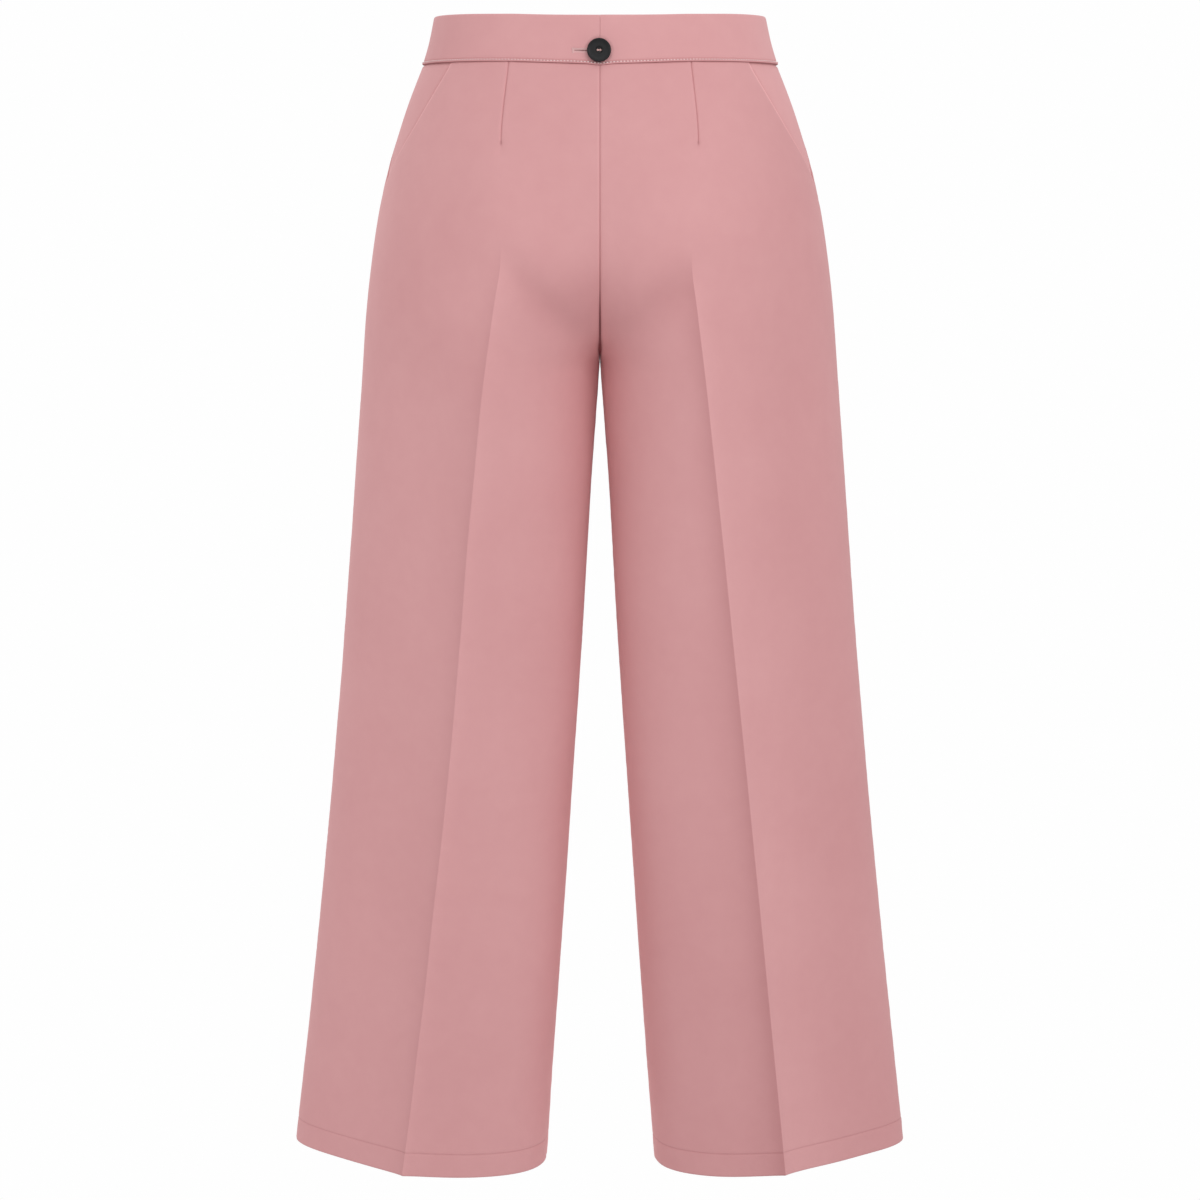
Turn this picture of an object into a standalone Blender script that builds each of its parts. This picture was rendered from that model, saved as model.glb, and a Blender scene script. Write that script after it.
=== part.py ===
"""Wide-leg trousers, standing open as when worn, with a waistband that closes at the centre back.

Metres, +Z up. The origin is the middle of the waist opening, level with the top edge of the waistband
at the centre back. The garment's back faces -Y and its front +Y. The wearer's left is -X.

Every piece of cloth is an open sheet on one form, given a wall by Solidify. The form is a closed
outline at each depth below the waist. One half of it runs through four arcs: centre back or inseam
to back crease, back crease to side, side to front crease, front crease to centre front or inseam.
A place on it is (side, depth, turn), with turn 0 at the inner back edge, 1 at the back crease,
2 at the outermost point, 3 at the front crease and 4 at the inner front edge.
"""

import math
from functools import lru_cache

import bmesh
import bpy
import numpy as np
from mathutils import Matrix, Vector

LEFT, RIGHT = -1, 1

# Driving dimensions
LENGTH = 1.021  # top of the waistband to the hem, down the back crease
BAND_HEIGHT = 0.041
CROTCH_DEPTH = 0.308  # depth at the side of the row that reaches the crotch point
HEM_TURN_UP = 0.023
CLOTH = 0.0013
BAND_WALL = 0.003  # outer band, interfacing and inner band
BAND_PROUD = 0.0008  # the band stands this far out from the panels under it
SEAM_GAP = 0.0003
SEAM_ALLOWANCE = 0.012
ALLOWANCE_STEP = 0.002  # over this the double wall of a seam allowance or hem becomes single
EDGE_FLANK = 0.0022  # the nearest column of points beside a seam
CREASE_FLANK = 0.0025  # the nearest columns of points beside a crease or dart
DART_DEPTH_AT = 0.1067  # the darts' points
DART_GROOVE = 0.0010
POCKET_END = 0.139  # the pocket mouth meets the side seam here
POCKET_BAG_DEPTH = 0.262
CLOSED_BAND_DIP = 0.003  # the band lies this much lower at the centres than at the sides
HEM_SIDE_LIFT = 0.0035
BUTTON_DIAMETER = 0.0204
BUTTON_THICKNESS = 0.0032
BUTTON_X = -0.0008
BUTTON_DEPTH = 0.0296
BUTTON_STAND_OFF = 0.0014
HOLE_RADIUS = 0.00095
HOLE_OFFSET = 0.00130  # each of the button's two holes lies this far from its middle
SHANK_RADIUS = 0.0006
THREAD_PAD_RADIUS = 0.0033
THREAD_RADIUS = 0.00062
BUTTONHOLE_OUTER_X = -0.0235
BUTTONHOLE_INNER_X = -0.0022
BUTTONHOLE_WIDTH = 0.0018
UNDERLAP = 0.034  # the right end of the band runs on this far behind the left end
POCKET_BEHIND = 0.0036  # the pocket hangs this far in from the outer surface, clear of the front
ZIP_TOP, ZIP_BOTTOM = 0.0445, 0.180
ZIP_TAPE_WIDTH = 0.026
ZIP_TAPE_THICKNESS = 0.0010

# Finishes: linear colour and roughness
SUITING = ((0.66, 0.36, 0.36), 0.75)
POCKET_SUITING = ((0.66, 0.38, 0.38), 0.80)
BAND_SUITING = ((0.67, 0.37, 0.37), 0.75)
BLACK_PLASTIC = ((0.012, 0.012, 0.014), 0.40)
THREAD = ((0.72, 0.45, 0.43), 0.70)
ZIP_TAPE = ((0.62, 0.34, 0.34), 0.80)

# The outermost point of each half, and how far out its side seam lies
SIDE = (
    # depth, side_x, side_y, seam_x
    (0.000, 0.1452, 0.000, 0.1196),
    (0.020, 0.1496, 0.000, 0.1236),
    (0.041, 0.1561, 0.000, 0.1278),
    (0.056, 0.1626, 0.000, 0.1374),
    (0.080, 0.1724, 0.000, 0.1534),
    (0.100, 0.1792, 0.000, 0.1664),
    (0.118, 0.1846, 0.000, 0.1779),
    (0.139, 0.1900, 0.000, 0.1885),
    (0.152, 0.1930, -0.001, 0.1928),
    (0.160, 0.1947, -0.001, 0.1947),
    (0.200, 0.2013, -0.001, 0.2013),
    (0.250, 0.2074, -0.002, 0.2074),
    (0.308, 0.2120, -0.004, 0.2120),
    (0.400, 0.2194, -0.005, 0.2194),
    (0.600, 0.2360, -0.007, 0.2360),
    (0.800, 0.2562, -0.009, 0.2562),
    (1.021, 0.2812, -0.011, 0.2812),
)
# The dart and crease line of the backs. out and in are the angles, in degrees, at which the outline
# leaves it towards the side and towards the centre: away from the viewer of the back where positive.
BACK_CREASE = (
    # depth, left_x, right_x, y, out, in
    (0.000, 0.0740, 0.0740, -0.0912, 20.0, -20.0),
    (0.041, 0.0777, 0.0777, -0.0972, 20.0, -20.0),
    (0.107, 0.0842, 0.0839, -0.1115, 19.0, -19.0),
    (0.150, 0.0838, 0.0812, -0.1205, 17.0, -17.0),
    (0.200, 0.0842, 0.0780, -0.1275, 15.0, -14.0),
    (0.250, 0.0908, 0.0828, -0.1280, 19.0, -10.0),
    (0.308, 0.0985, 0.0900, -0.1250, 26.0, -8.0),
    (0.360, 0.1042, 0.0959, -0.1220, 30.0, -8.0),
    (0.450, 0.1130, 0.1060, -0.1185, 33.0, -8.0),
    (0.600, 0.1264, 0.1220, -0.1150, 35.0, -9.0),
    (0.800, 0.1482, 0.1432, -0.1105, 37.0, -10.0),
    (1.021, 0.1762, 0.1661, -0.1050, 38.0, -11.0),
)
FRONT_CREASE = (
    # depth, x, y, out, in
    (0.000, 0.0760, 0.0830, 20.0, -20.0),
    (0.041, 0.0800, 0.0890, 20.0, -20.0),
    (0.107, 0.0870, 0.0990, 18.0, -18.0),
    (0.200, 0.0920, 0.1050, 17.0, -15.0),
    (0.250, 0.0955, 0.1045, 21.0, -11.0),
    (0.308, 0.1010, 0.1020, 26.0, -8.0),
    (0.360, 0.1055, 0.0990, 29.0, -6.0),
    (0.450, 0.1135, 0.0955, 31.0, -5.0),
    (0.600, 0.1275, 0.0915, 33.0, -5.0),
    (0.800, 0.1475, 0.0875, 34.0, -5.0),
    (1.021, 0.1715, 0.0830, 35.0, -5.0),
)
# The inner edge of the backs and fronts: the seat seam down to the crotch point, then the inseam.
# drop is its own depth. face is the outline's angle there: 0 squarely across, 90 front to back.
BACK_INNER = (
    # depth, x, y, drop, face
    (0.000, 0.0000, -0.1060, 0.000, 0.0),
    (0.041, 0.0000, -0.1120, 0.041, 0.0),
    (0.107, 0.0000, -0.1215, 0.107, 0.0),
    (0.150, 0.0000, -0.1258, 0.150, 4.0),
    (0.200, 0.0000, -0.1240, 0.199, 16.0),
    (0.230, 0.0000, -0.1170, 0.229, 28.0),
    (0.250, 0.0000, -0.1070, 0.249, 40.0),
    (0.268, 0.0000, -0.0920, 0.266, 54.0),
    (0.284, 0.0000, -0.0730, 0.279, 68.0),
    (0.297, 0.0000, -0.0520, 0.288, 80.0),
    (0.308, 0.0003, -0.0320, 0.294, 90.0),
    (0.330, 0.0024, -0.0335, 0.323, 90.0),
    (0.360, 0.0050, -0.0360, 0.358, 90.0),
    (0.400, 0.0081, -0.0380, 0.400, 90.0),
    (0.500, 0.0138, -0.0410, 0.500, 90.0),
    (0.700, 0.0270, -0.0440, 0.700, 90.0),
    (1.021, 0.0495, -0.0480, 1.021, 90.0),
)
FRONT_INNER = (
    # depth, x, y, drop, face
    (0.000, 0.0000, 0.0970, 0.000, 0.0),
    (0.041, 0.0000, 0.1030, 0.041, 0.0),
    (0.107, 0.0000, 0.1120, 0.107, 0.0),
    (0.150, 0.0000, 0.1140, 0.150, 2.0),
    (0.200, 0.0000, 0.1110, 0.200, 12.0),
    (0.230, 0.0000, 0.1030, 0.229, 26.0),
    (0.250, 0.0000, 0.0920, 0.248, 40.0),
    (0.268, 0.0000, 0.0740, 0.265, 54.0),
    (0.284, 0.0000, 0.0480, 0.279, 68.0),
    (0.297, 0.0000, 0.0120, 0.289, 80.0),
    (0.308, 0.0003, -0.0320, 0.294, 90.0),
    (0.330, 0.0024, -0.0335, 0.323, 90.0),
    (0.360, 0.0050, -0.0360, 0.358, 90.0),
    (0.400, 0.0081, -0.0380, 0.400, 90.0),
    (0.500, 0.0138, -0.0410, 0.500, 90.0),
    (0.700, 0.0270, -0.0440, 0.700, 90.0),
    (1.021, 0.0495, -0.0480, 1.021, 90.0),
)
# How far each arc runs on before it turns, as shares of its chord
FULLNESS = (
    # depth, at_side, at_crease, at_inner
    (0.000, 0.38, 0.34, 0.33),
    (0.200, 0.38, 0.34, 0.33),
    (0.308, 0.33, 0.38, 0.30),
    (0.450, 0.27, 0.44, 0.36),
    (0.700, 0.23, 0.48, 0.42),
    (1.021, 0.20, 0.50, 0.46),
)
POCKET_MOUTH = (
    # depth, y
    (0.000, 0.0450),
    (0.041, 0.0300),
    (0.070, 0.0140),
    (0.104, 0.0010),
    (0.122, -0.0050),
    (0.139, -0.0120),
)
POCKET_BAG = (
    # depth, reach: how far the bag goes forward of the side seam
    (0.041, 0.1320),
    (0.140, 0.1180),
    (0.210, 0.0960),
    (0.250, 0.0600),
    (0.262, 0.0320),
)
PANEL_ROWS = (
    0.055, 0.074, 0.092, DART_DEPTH_AT, 0.122, POCKET_END, 0.148, 0.160, 0.180, 0.203, 0.225, 0.245,
    0.262, 0.277, 0.292, CROTCH_DEPTH, 0.325, 0.346, 0.375, 0.420, 0.480, 0.550, 0.620, 0.690,
    0.760, 0.830, 0.900, 0.955,
)


def spline(table, column, depth):
    """The column's value at a depth, on a smooth curve through the table's rows that never overshoots."""
    depths = [row[0] for row in table]
    values = [row[column] for row in table]
    at = min(max(depth, depths[0]), depths[-1])
    i = min(int(np.searchsorted(depths, at, side="right")) - 1, len(depths) - 2)
    steps = np.diff(depths)
    slopes = np.diff(values) / steps

    def tangent(k):
        if k in (0, len(depths) - 1):
            return slopes[min(k, len(slopes) - 1)]
        before, after = slopes[k - 1], slopes[k]
        if before * after <= 0:
            return 0.0
        long, short = 2 * steps[k] + steps[k - 1], steps[k] + 2 * steps[k - 1]
        return (long + short) / (long / before + short / after)

    h = steps[i]
    t = (at - depths[i]) / h
    return float(
        values[i] * (1 + 2 * t) * (1 - t) ** 2
        + tangent(i) * h * t * (1 - t) ** 2
        + values[i + 1] * t * t * (3 - 2 * t)
        - tangent(i + 1) * h * t * t * (1 - t)
    )


def ease(t):
    t = min(max(t, 0.0), 1.0)
    return t * t * (3 - 2 * t)


@lru_cache(maxsize=None)
def anchors(side, depth):
    """The points, in plan, where the four arcs of one half outline meet, and their directions there."""
    crease_column = 1 if side == LEFT else 2
    back_in, side_point, front_in = (
        (spline(BACK_INNER, 1, depth), spline(BACK_INNER, 2, depth)),
        (spline(SIDE, 1, depth), spline(SIDE, 2, depth)),
        (spline(FRONT_INNER, 1, depth), spline(FRONT_INNER, 2, depth)),
    )
    back = (spline(BACK_CREASE, crease_column, depth), spline(BACK_CREASE, 3, depth))
    front = (spline(FRONT_CREASE, 1, depth), spline(FRONT_CREASE, 2, depth))
    angle = [
        math.radians(value)
        for value in (
            spline(BACK_INNER, 4, depth),
            spline(BACK_CREASE, 4, depth),
            spline(BACK_CREASE, 5, depth),
            spline(FRONT_CREASE, 3, depth),
            spline(FRONT_CREASE, 4, depth),
            spline(FRONT_INNER, 4, depth),
        )
    ]
    inner_face, back_out, back_inward, front_out, front_inward, front_face = angle
    return (
        (back_in, (math.cos(inner_face), -math.sin(inner_face)),
         back, (-math.cos(back_inward), math.sin(back_inward))),
        (back, (math.cos(back_out), math.sin(back_out)), side_point, (0.0, -1.0)),
        (side_point, (0.0, 1.0), front, (math.cos(front_out), -math.sin(front_out))),
        (front, (-math.cos(front_inward), -math.sin(front_inward)),
         front_in, (math.cos(front_face), math.sin(front_face))),
    )


@lru_cache(maxsize=None)
def arcs(side, depth):
    """The four arcs of one half outline, each as the four points of a Bezier curve."""
    at_side, at_crease, at_inner = (spline(FULLNESS, column, depth) for column in (1, 2, 3))
    shares = ((at_inner, at_crease), (at_crease, at_side), (at_side, at_crease), (at_crease, at_inner))
    curves = []
    for (start, leaves, end, arrives), (near, far) in zip(anchors(side, depth), shares):
        start, leaves, end, arrives = (np.array(value) for value in (start, leaves, end, arrives))
        chord = np.linalg.norm(end - start)
        curves.append((start, start + leaves * near * chord, end + arrives * far * chord, end))
    return curves


@lru_cache(maxsize=None)
def falls(depth):
    """How far the inner back edge and the inner front edge hang below this depth."""
    return spline(BACK_INNER, 3, depth) - depth, spline(FRONT_INNER, 3, depth) - depth


def form(side, depth, turn):
    """A point of the trousers' outer surface."""
    arc = min(int(turn), 3)
    t = turn - arc
    start, first, second, end = arcs(side, depth)[arc]
    x, y = (
        start * (1 - t) ** 3 + 3 * first * t * (1 - t) ** 2
        + 3 * second * t * t * (1 - t) + end * t ** 3
    )
    inward = 1 - turn if turn < 1 else max(turn - 3, 0)
    fall = falls(depth)[0 if turn < 2 else 1] * ease(inward)
    from_centre = min(turn, 4 - turn)
    waist_lift = CLOSED_BAND_DIP * ease(from_centre / 1.4) * (1 - ease((depth - BAND_HEIGHT) / 0.06))
    hem_lift = HEM_SIDE_LIFT * ease(from_centre - 1) * ease((depth - 0.9) / (LENGTH - 0.9))
    return Vector((side * max(x, SEAM_GAP / 2), y, -depth - fall + waist_lift + hem_lift))


def outward(side, depth, turn):
    """The form's unit normal, facing out."""
    d, t = 0.001, 0.004
    low, high = max(turn - t, 0.0), min(turn + t, 4.0)
    along = form(side, depth, high) - form(side, depth, low)
    down = form(side, depth + d, turn) - form(side, max(depth - d, 0.0), turn)
    return (along.cross(down) * -side).normalized()


def turn_where(reached, low, high):
    """The turn between low and high at which reached(turn) first becomes true."""
    for _ in range(40):
        middle = (low + high) / 2
        low, high = (low, middle) if reached(middle) else (middle, high)
    return high


@lru_cache(maxsize=None)
def seam_turn(side, depth):
    """Where the side seam crosses the outline at this depth."""
    seam_x = spline(SIDE, 3, depth)
    if seam_x > spline(SIDE, 1, depth) - 0.00002:
        return 2.0
    return turn_where(lambda turn: abs(form(side, depth, turn).x) >= seam_x, 1.0, 2.0)


def mouth_turn(side, depth):
    """Where the front's outer edge lies: the pocket mouth, and the side seam below it."""
    if depth >= POCKET_END:
        return seam_turn(side, depth)
    mouth_y = spline(POCKET_MOUTH, 1, depth)
    return turn_where(lambda turn: form(side, depth, turn).y >= mouth_y, 1.0, 3.0)


def across(x, depth, out=0.0):
    """The point of the back at this x, moved out from the surface."""
    side = RIGHT if x >= 0 else LEFT
    turn = turn_where(lambda value: abs(form(side, depth, value).x) >= abs(x), 0.0, 1.0)
    point = form(side, depth, turn) + outward(side, depth, turn) * out
    return Vector((x, point.y, point.z))


def stretch(side, depth, start, end, marks):
    """Turns along an outline from start to end. marks turns its length into distances from start."""
    turns = np.linspace(start, end, 90)
    points = [form(side, depth, turn) for turn in turns]
    reached = np.concatenate([[0], np.cumsum([(b - a).length for a, b in zip(points, points[1:])])])
    return [float(np.interp(mark, reached, turns)) for mark in marks(reached[-1])]


def arc_length(side, depth, start, end):
    points = [form(side, depth, turn) for turn in np.linspace(start, end, 60)]
    return sum((b - a).length for a, b in zip(points, points[1:]))


def spread(first, last, between):
    """Distances for stretch: those in first, an even run between, then those in last from the end."""
    def marks(length):
        low, high = first[-1], length - last[-1]
        middle = [low + (high - low) * k / (between + 1) for k in range(1, between + 1)]
        return [*first, *middle, *(length - mark for mark in reversed(last))]

    return marks


def material(name, colour, roughness, metallic=0.0):
    made = bpy.data.materials.new(name)
    made.use_nodes = True
    shader = made.node_tree.nodes["Principled BSDF"]
    shader.inputs["Base Color"].default_value = (*colour, 1.0)
    shader.inputs["Roughness"].default_value = roughness
    shader.inputs["Metallic"].default_value = metallic
    return made


def placed(name, mesh, finish, collection):
    """An object in its collection, with a material of its own where finish gives one."""
    obj = bpy.data.objects.new(name, mesh)
    if finish:
        obj.data.materials.append(material(name, *finish))
    collection.objects.link(obj)
    return obj


def sheet(name, points, walls, thickness, finish, collection, facing):
    """A sheet of cloth through rows of points, with a wall behind it.

    walls gives each point's share of the thickness. facing is a point's outward direction, which
    turns the sheet's faces the right way.
    """
    rows, columns = len(points), len(points[0])
    grid = bmesh.new()
    bmesh.ops.create_grid(grid, x_segments=columns - 1, y_segments=rows - 1, size=1.0)
    grid.verts.ensure_lookup_table()
    share = grid.verts.layers.deform.verify()
    for vertex in grid.verts:
        column = round((vertex.co.x + 1) / 2 * (columns - 1))
        row = round((1 - vertex.co.y) / 2 * (rows - 1))
        vertex.co = points[row][column]
        vertex[share][0] = walls[row][column]
    grid.normal_update()
    if sum(face.normal.dot(facing(face.calc_center_median())) for face in grid.faces) < 0:
        bmesh.ops.reverse_faces(grid, faces=grid.faces)
    mesh = bpy.data.meshes.new(name)
    grid.to_mesh(mesh)
    grid.free()
    mesh.shade_smooth()
    obj = placed(name, mesh, finish, collection)
    obj.vertex_groups.new(name="wall")
    wall = obj.modifiers.new("wall", "SOLIDIFY")
    wall.thickness = thickness
    wall.offset = -1.0
    wall.vertex_group = "wall"
    wall.use_even_offset = True
    return obj


def from_axis(point):
    """Roughly outward at a point of the body of the trousers or of a leg."""
    if point.z > -CROTCH_DEPTH:
        return Vector((point.x, point.y * 1.5, 0.0))
    middle = 0.5 * (spline(SIDE, 1, -point.z) + spline(BACK_INNER, 1, -point.z))
    return Vector((point.x - math.copysign(middle, point.x), point.y, 0.0))


def panel(name, side, is_back, finish, collection):
    """A front or a back: waist seam to hem, inner edge to side seam, with the hem turned up inside."""
    edge = (0.0, EDGE_FLANK, SEAM_ALLOWANCE, SEAM_ALLOWANCE + ALLOWANCE_STEP)
    flank = (0.0, CREASE_FLANK)
    hem_top = LENGTH - HEM_TURN_UP
    rows = (BAND_HEIGHT + SEAM_GAP, *PANEL_ROWS, hem_top - ALLOWANCE_STEP, hem_top, LENGTH)
    points, walls = [], []
    for depth in rows:
        if is_back:
            last = seam_turn(side, depth)
            zones = ((0.0, 1.0), (1.0, last))
        else:
            last = mouth_turn(side, depth)
            zones = ((4.0, 3.0), (3.0, last))
        inner = stretch(side, depth, *zones[0], spread(edge, flank, 4))
        outer = stretch(side, depth, *zones[1], spread(flank, edge, 5))
        turns = [*inner, *outer[1:]]
        line = [form(side, depth, turn) for turn in turns]
        line[0] = inner_edge(side, depth, is_back)
        line[-1] = drawn_in(line[-1], line[-2], SEAM_GAP / 2)
        crease = len(inner) - 1
        if is_back and depth < DART_DEPTH_AT:
            line[crease] -= outward(side, depth, turns[crease]) * DART_GROOVE
        in_hem = depth >= hem_top
        over_pocket = not is_back and depth < POCKET_BAG_DEPTH + EDGE_FLANK
        wall = [1.0 if in_hem else 0.5] * len(turns)
        wall[:3] = [1.0] * 3
        if not over_pocket:
            wall[-3:] = [1.0] * 3
        points.append(line)
        walls.append(wall)
    return sheet(name, points, walls, 2 * CLOTH, finish, collection, from_axis)


def inner_edge(side, depth, is_back):
    """A point of a panel's inner edge, half a seam gap from the piece it is sewn to."""
    point = form(side, depth, 0.0 if is_back else 4.0)
    if depth >= CROTCH_DEPTH:
        point.y += -SEAM_GAP / 2 if is_back else SEAM_GAP / 2
    return point


def drawn_in(point, towards, by):
    return point + (towards - point).normalized() * by


def pocket(name, side, finish, collection):
    """The facing that shows in the pocket mouth, cut in one with the bag behind the front."""
    settle = 0.010  # over this distance before the mouth it sinks to lie behind the front
    depths = (BAND_HEIGHT + SEAM_GAP, 0.055, 0.074, 0.092, DART_DEPTH_AT, 0.122, POCKET_END, 0.148, 0.160,
              0.180, 0.203, 0.225, 0.245, POCKET_BAG_DEPTH)
    points, walls = [], []
    for depth in depths:
        start, mouth = seam_turn(side, depth), mouth_turn(side, depth)
        shown = arc_length(side, depth, start, mouth)
        leaf = max(shown, settle)
        reach = spline(POCKET_BAG, 1, depth)
        marks = [leaf * share for share in (0.0, 0.3, 0.6, 0.8, 0.95)]
        marks += [leaf + (reach - leaf) * step / 8 for step in range(1, 9)]
        turns = stretch(side, depth, start, 3.0, lambda length: marks)
        line = []
        for mark, turn in zip(marks, turns):
            sunk = ease((mark - shown + settle) / settle)
            line.append(form(side, depth, turn) - outward(side, depth, turn) * POCKET_BEHIND * sunk)
        line[0] = drawn_in(line[0], line[1], SEAM_GAP / 2 + 2 * SEAM_GAP * ease(1 - shown / settle))
        points.append(line)
        walls.append([1.0] * len(line))
    return sheet(name, points, walls, CLOTH, finish, collection, from_axis)


def band_face(side, depth, turn):
    return form(side, depth, turn) + outward(side, depth, turn) * BAND_PROUD


def waistband(finish, collection):
    """From the left end at the centre back, round the front, to the right end and its underlap."""
    deeper = BAND_PROUD - BAND_WALL - SEAM_GAP
    turns = np.linspace(0.0, 4.0, 33)

    def line_of(depth):
        left = [band_face(LEFT, depth, turn) for turn in turns]
        right = [band_face(RIGHT, depth, turn) for turn in reversed(turns[:-1])]
        left[-1].x = 0.0
        end = right[-1]
        corner = Vector((end.x, across(0.0, depth, deeper).y, end.z))
        behind = [across(end.x - UNDERLAP * share, depth, deeper) for share in (0.2, 0.4, 0.6, 0.8, 1.0)]
        return [*left, *right, corner, *behind]

    depths = (0.0, 0.0015, 0.014, 0.028, 0.0395, BAND_HEIGHT)
    points = [line_of(depth) for depth in depths]
    walls = [[1.0] * len(points[0]) for _ in depths]
    band = sheet("waistband", points, walls, BAND_WALL, finish, collection, from_axis)
    rounded = band.modifiers.new("folded_edges", "BEVEL")
    rounded.width = 0.0007
    rounded.segments = 2
    rounded.limit_method = "ANGLE"
    rounded.angle_limit = math.radians(60)
    return band


def cylinder(name, radius, start, end, sides, collection, finish=None):
    """A round bar between two points."""
    bar = bmesh.new()
    length = (end - start).length
    bmesh.ops.create_cone(
        bar, cap_ends=True, segments=sides, radius1=radius, radius2=radius, depth=length
    )
    turned = (end - start).to_track_quat("Z", "Y").to_matrix().to_4x4()
    bmesh.ops.transform(
        bar, matrix=Matrix.Translation((start + end) / 2) @ turned, verts=bar.verts
    )
    mesh = bpy.data.meshes.new(name)
    bar.to_mesh(mesh)
    bar.free()
    return placed(name, mesh, finish, collection)


def as_helper(obj):
    obj.hide_render = True
    obj.display_type = "WIRE"
    return obj


def boolean(obj, other, operation):
    cut = obj.modifiers.new(f"{operation.lower()}_{other.name}", "BOOLEAN")
    cut.operation = operation
    cut.object = as_helper(other)


def cut_buttonhole(band, helpers):
    """The slit, lengthwise in the band, from its outer bar to just short of the band's end."""
    slit = bmesh.new()
    bmesh.ops.create_cube(slit, size=1.0)
    middle_x = (BUTTONHOLE_OUTER_X + BUTTONHOLE_INNER_X) / 2
    centre = across(middle_x, BUTTON_DEPTH)
    centre.z = across(BUTTON_X, BUTTON_DEPTH).z
    length = BUTTONHOLE_INNER_X - BUTTONHOLE_OUTER_X
    reach = 2 * (BAND_WALL - BAND_PROUD) + SEAM_GAP
    size = (length, reach, BUTTONHOLE_WIDTH)
    bmesh.ops.transform(
        slit,
        matrix=Matrix.Translation(centre) @ Matrix.Diagonal((*size, 1.0)),
        verts=slit.verts,
    )
    mesh = bpy.data.meshes.new("buttonhole_cutter")
    slit.to_mesh(mesh)
    slit.free()
    cutter = bpy.data.objects.new("buttonhole_cutter", mesh)
    helpers.objects.link(cutter)
    boolean(band, cutter, "DIFFERENCE")


def button_frame():
    """The middle of the button's back, and the way that it faces."""
    side = LEFT
    facing = outward(side, BUTTON_DEPTH, 0.02)
    facing.x = 0.0
    facing.normalize()
    surface = across(BUTTON_X, BUTTON_DEPTH, BAND_PROUD)
    return surface + facing * BUTTON_STAND_OFF, facing


def button(finish, collection, helpers):
    """A turned disc with a low rim, a small sunk eye and two holes."""
    radius, top = BUTTON_DIAMETER / 2, BUTTON_THICKNESS
    rim = 0.0012
    profile = (
        (radius - 0.0016, 0.0),
        (radius - 0.0005, 0.0006),
        (radius, 0.0016),
        (radius - 0.00015, top - 0.0005),
        (radius - 0.0006, top - 0.0001),
        (radius - rim, top - 0.00015),
        (radius - rim - 0.0004, top - 0.0006),
        (0.0032, top - 0.0010),
    )
    drawn = bmesh.new()
    corners = [drawn.verts.new((x, 0.0, z)) for x, z in reversed(profile)]
    ends = [drawn.verts.new((0.0, 0.0, profile[-1][1])), drawn.verts.new((0.0, 0.0, 0.0))]
    chain = [ends[0], *corners, ends[1]]
    for first, second in zip(chain, chain[1:]):
        drawn.edges.new((first, second))
    mesh = bpy.data.meshes.new("button")
    drawn.to_mesh(mesh)
    drawn.free()
    disc = placed("button", mesh, finish, collection)
    turned = disc.modifiers.new("turned", "SCREW")
    turned.axis = "Z"
    turned.steps = turned.render_steps = 36
    turned.use_merge_vertices = True
    turned.merge_threshold = 0.00005
    turned.use_normal_calculate = True
    seat, facing = button_frame()
    disc.matrix_world = Matrix.Translation(seat) @ facing.to_track_quat("Z", "Y").to_matrix().to_4x4()
    across_button = Vector((1.0, 0.0, 0.0))
    for number, offset in enumerate((-HOLE_OFFSET, HOLE_OFFSET)):
        axis = seat + across_button * offset
        below, above = axis - facing * 0.002, axis + facing * 0.006
        hole = cylinder(f"hole_cutter_{number}", HOLE_RADIUS, below, above, 14, helpers)
        boolean(disc, hole, "DIFFERENCE")
    return disc


def button_thread(finish, collection, helpers):
    """The thread that holds the button: a wound shank through the slit, and a stitch in each hole."""
    seat, facing = button_frame()
    shank_x = BUTTONHOLE_INNER_X - 0.0010
    foot = across(shank_x, BUTTON_DEPTH, BAND_PROUD - BAND_WALL)
    neck = Vector((shank_x, seat.y, seat.z)) - facing * 0.0005
    shank = cylinder("button_thread", SHANK_RADIUS, foot, neck, 10, collection, finish)
    pad_back, pad_face = seat - facing * 0.0009, seat - facing * SEAM_GAP
    pad = cylinder("thread_pad", THREAD_PAD_RADIUS, pad_back, pad_face, 16, helpers)
    boolean(shank, pad, "UNION")
    for number, offset in enumerate((-HOLE_OFFSET, HOLE_OFFSET)):
        low = seat + Vector((offset, 0.0, 0.0)) - facing * 0.0006
        high = seat + Vector((offset, 0.0, 0.0)) + facing * (BUTTON_THICKNESS - 0.0007)
        stitch = cylinder(f"thread_stitch_{number}", THREAD_RADIUS, low, high, 10, helpers)
        boolean(shank, stitch, "UNION")
    return shank


def back_zip(finish, collection):
    """The closed zip's two tapes, as one strip behind the seat seam."""
    half = ZIP_TAPE_WIDTH / 2
    xs = [half * share for share in (-1.0, -0.55, -0.12, 0.12, 0.55, 1.0)]
    depths = [ZIP_TOP, *(depth for depth in PANEL_ROWS if depth <= ZIP_BOTTOM)]
    behind = -2 * CLOTH - 2 * SEAM_GAP
    points = [[across(x, depth, behind) for x in xs] for depth in depths]
    walls = [[1.0] * len(xs) for _ in depths]
    return sheet("back_zip", points, walls, ZIP_TAPE_THICKNESS, finish, collection, from_axis)


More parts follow.
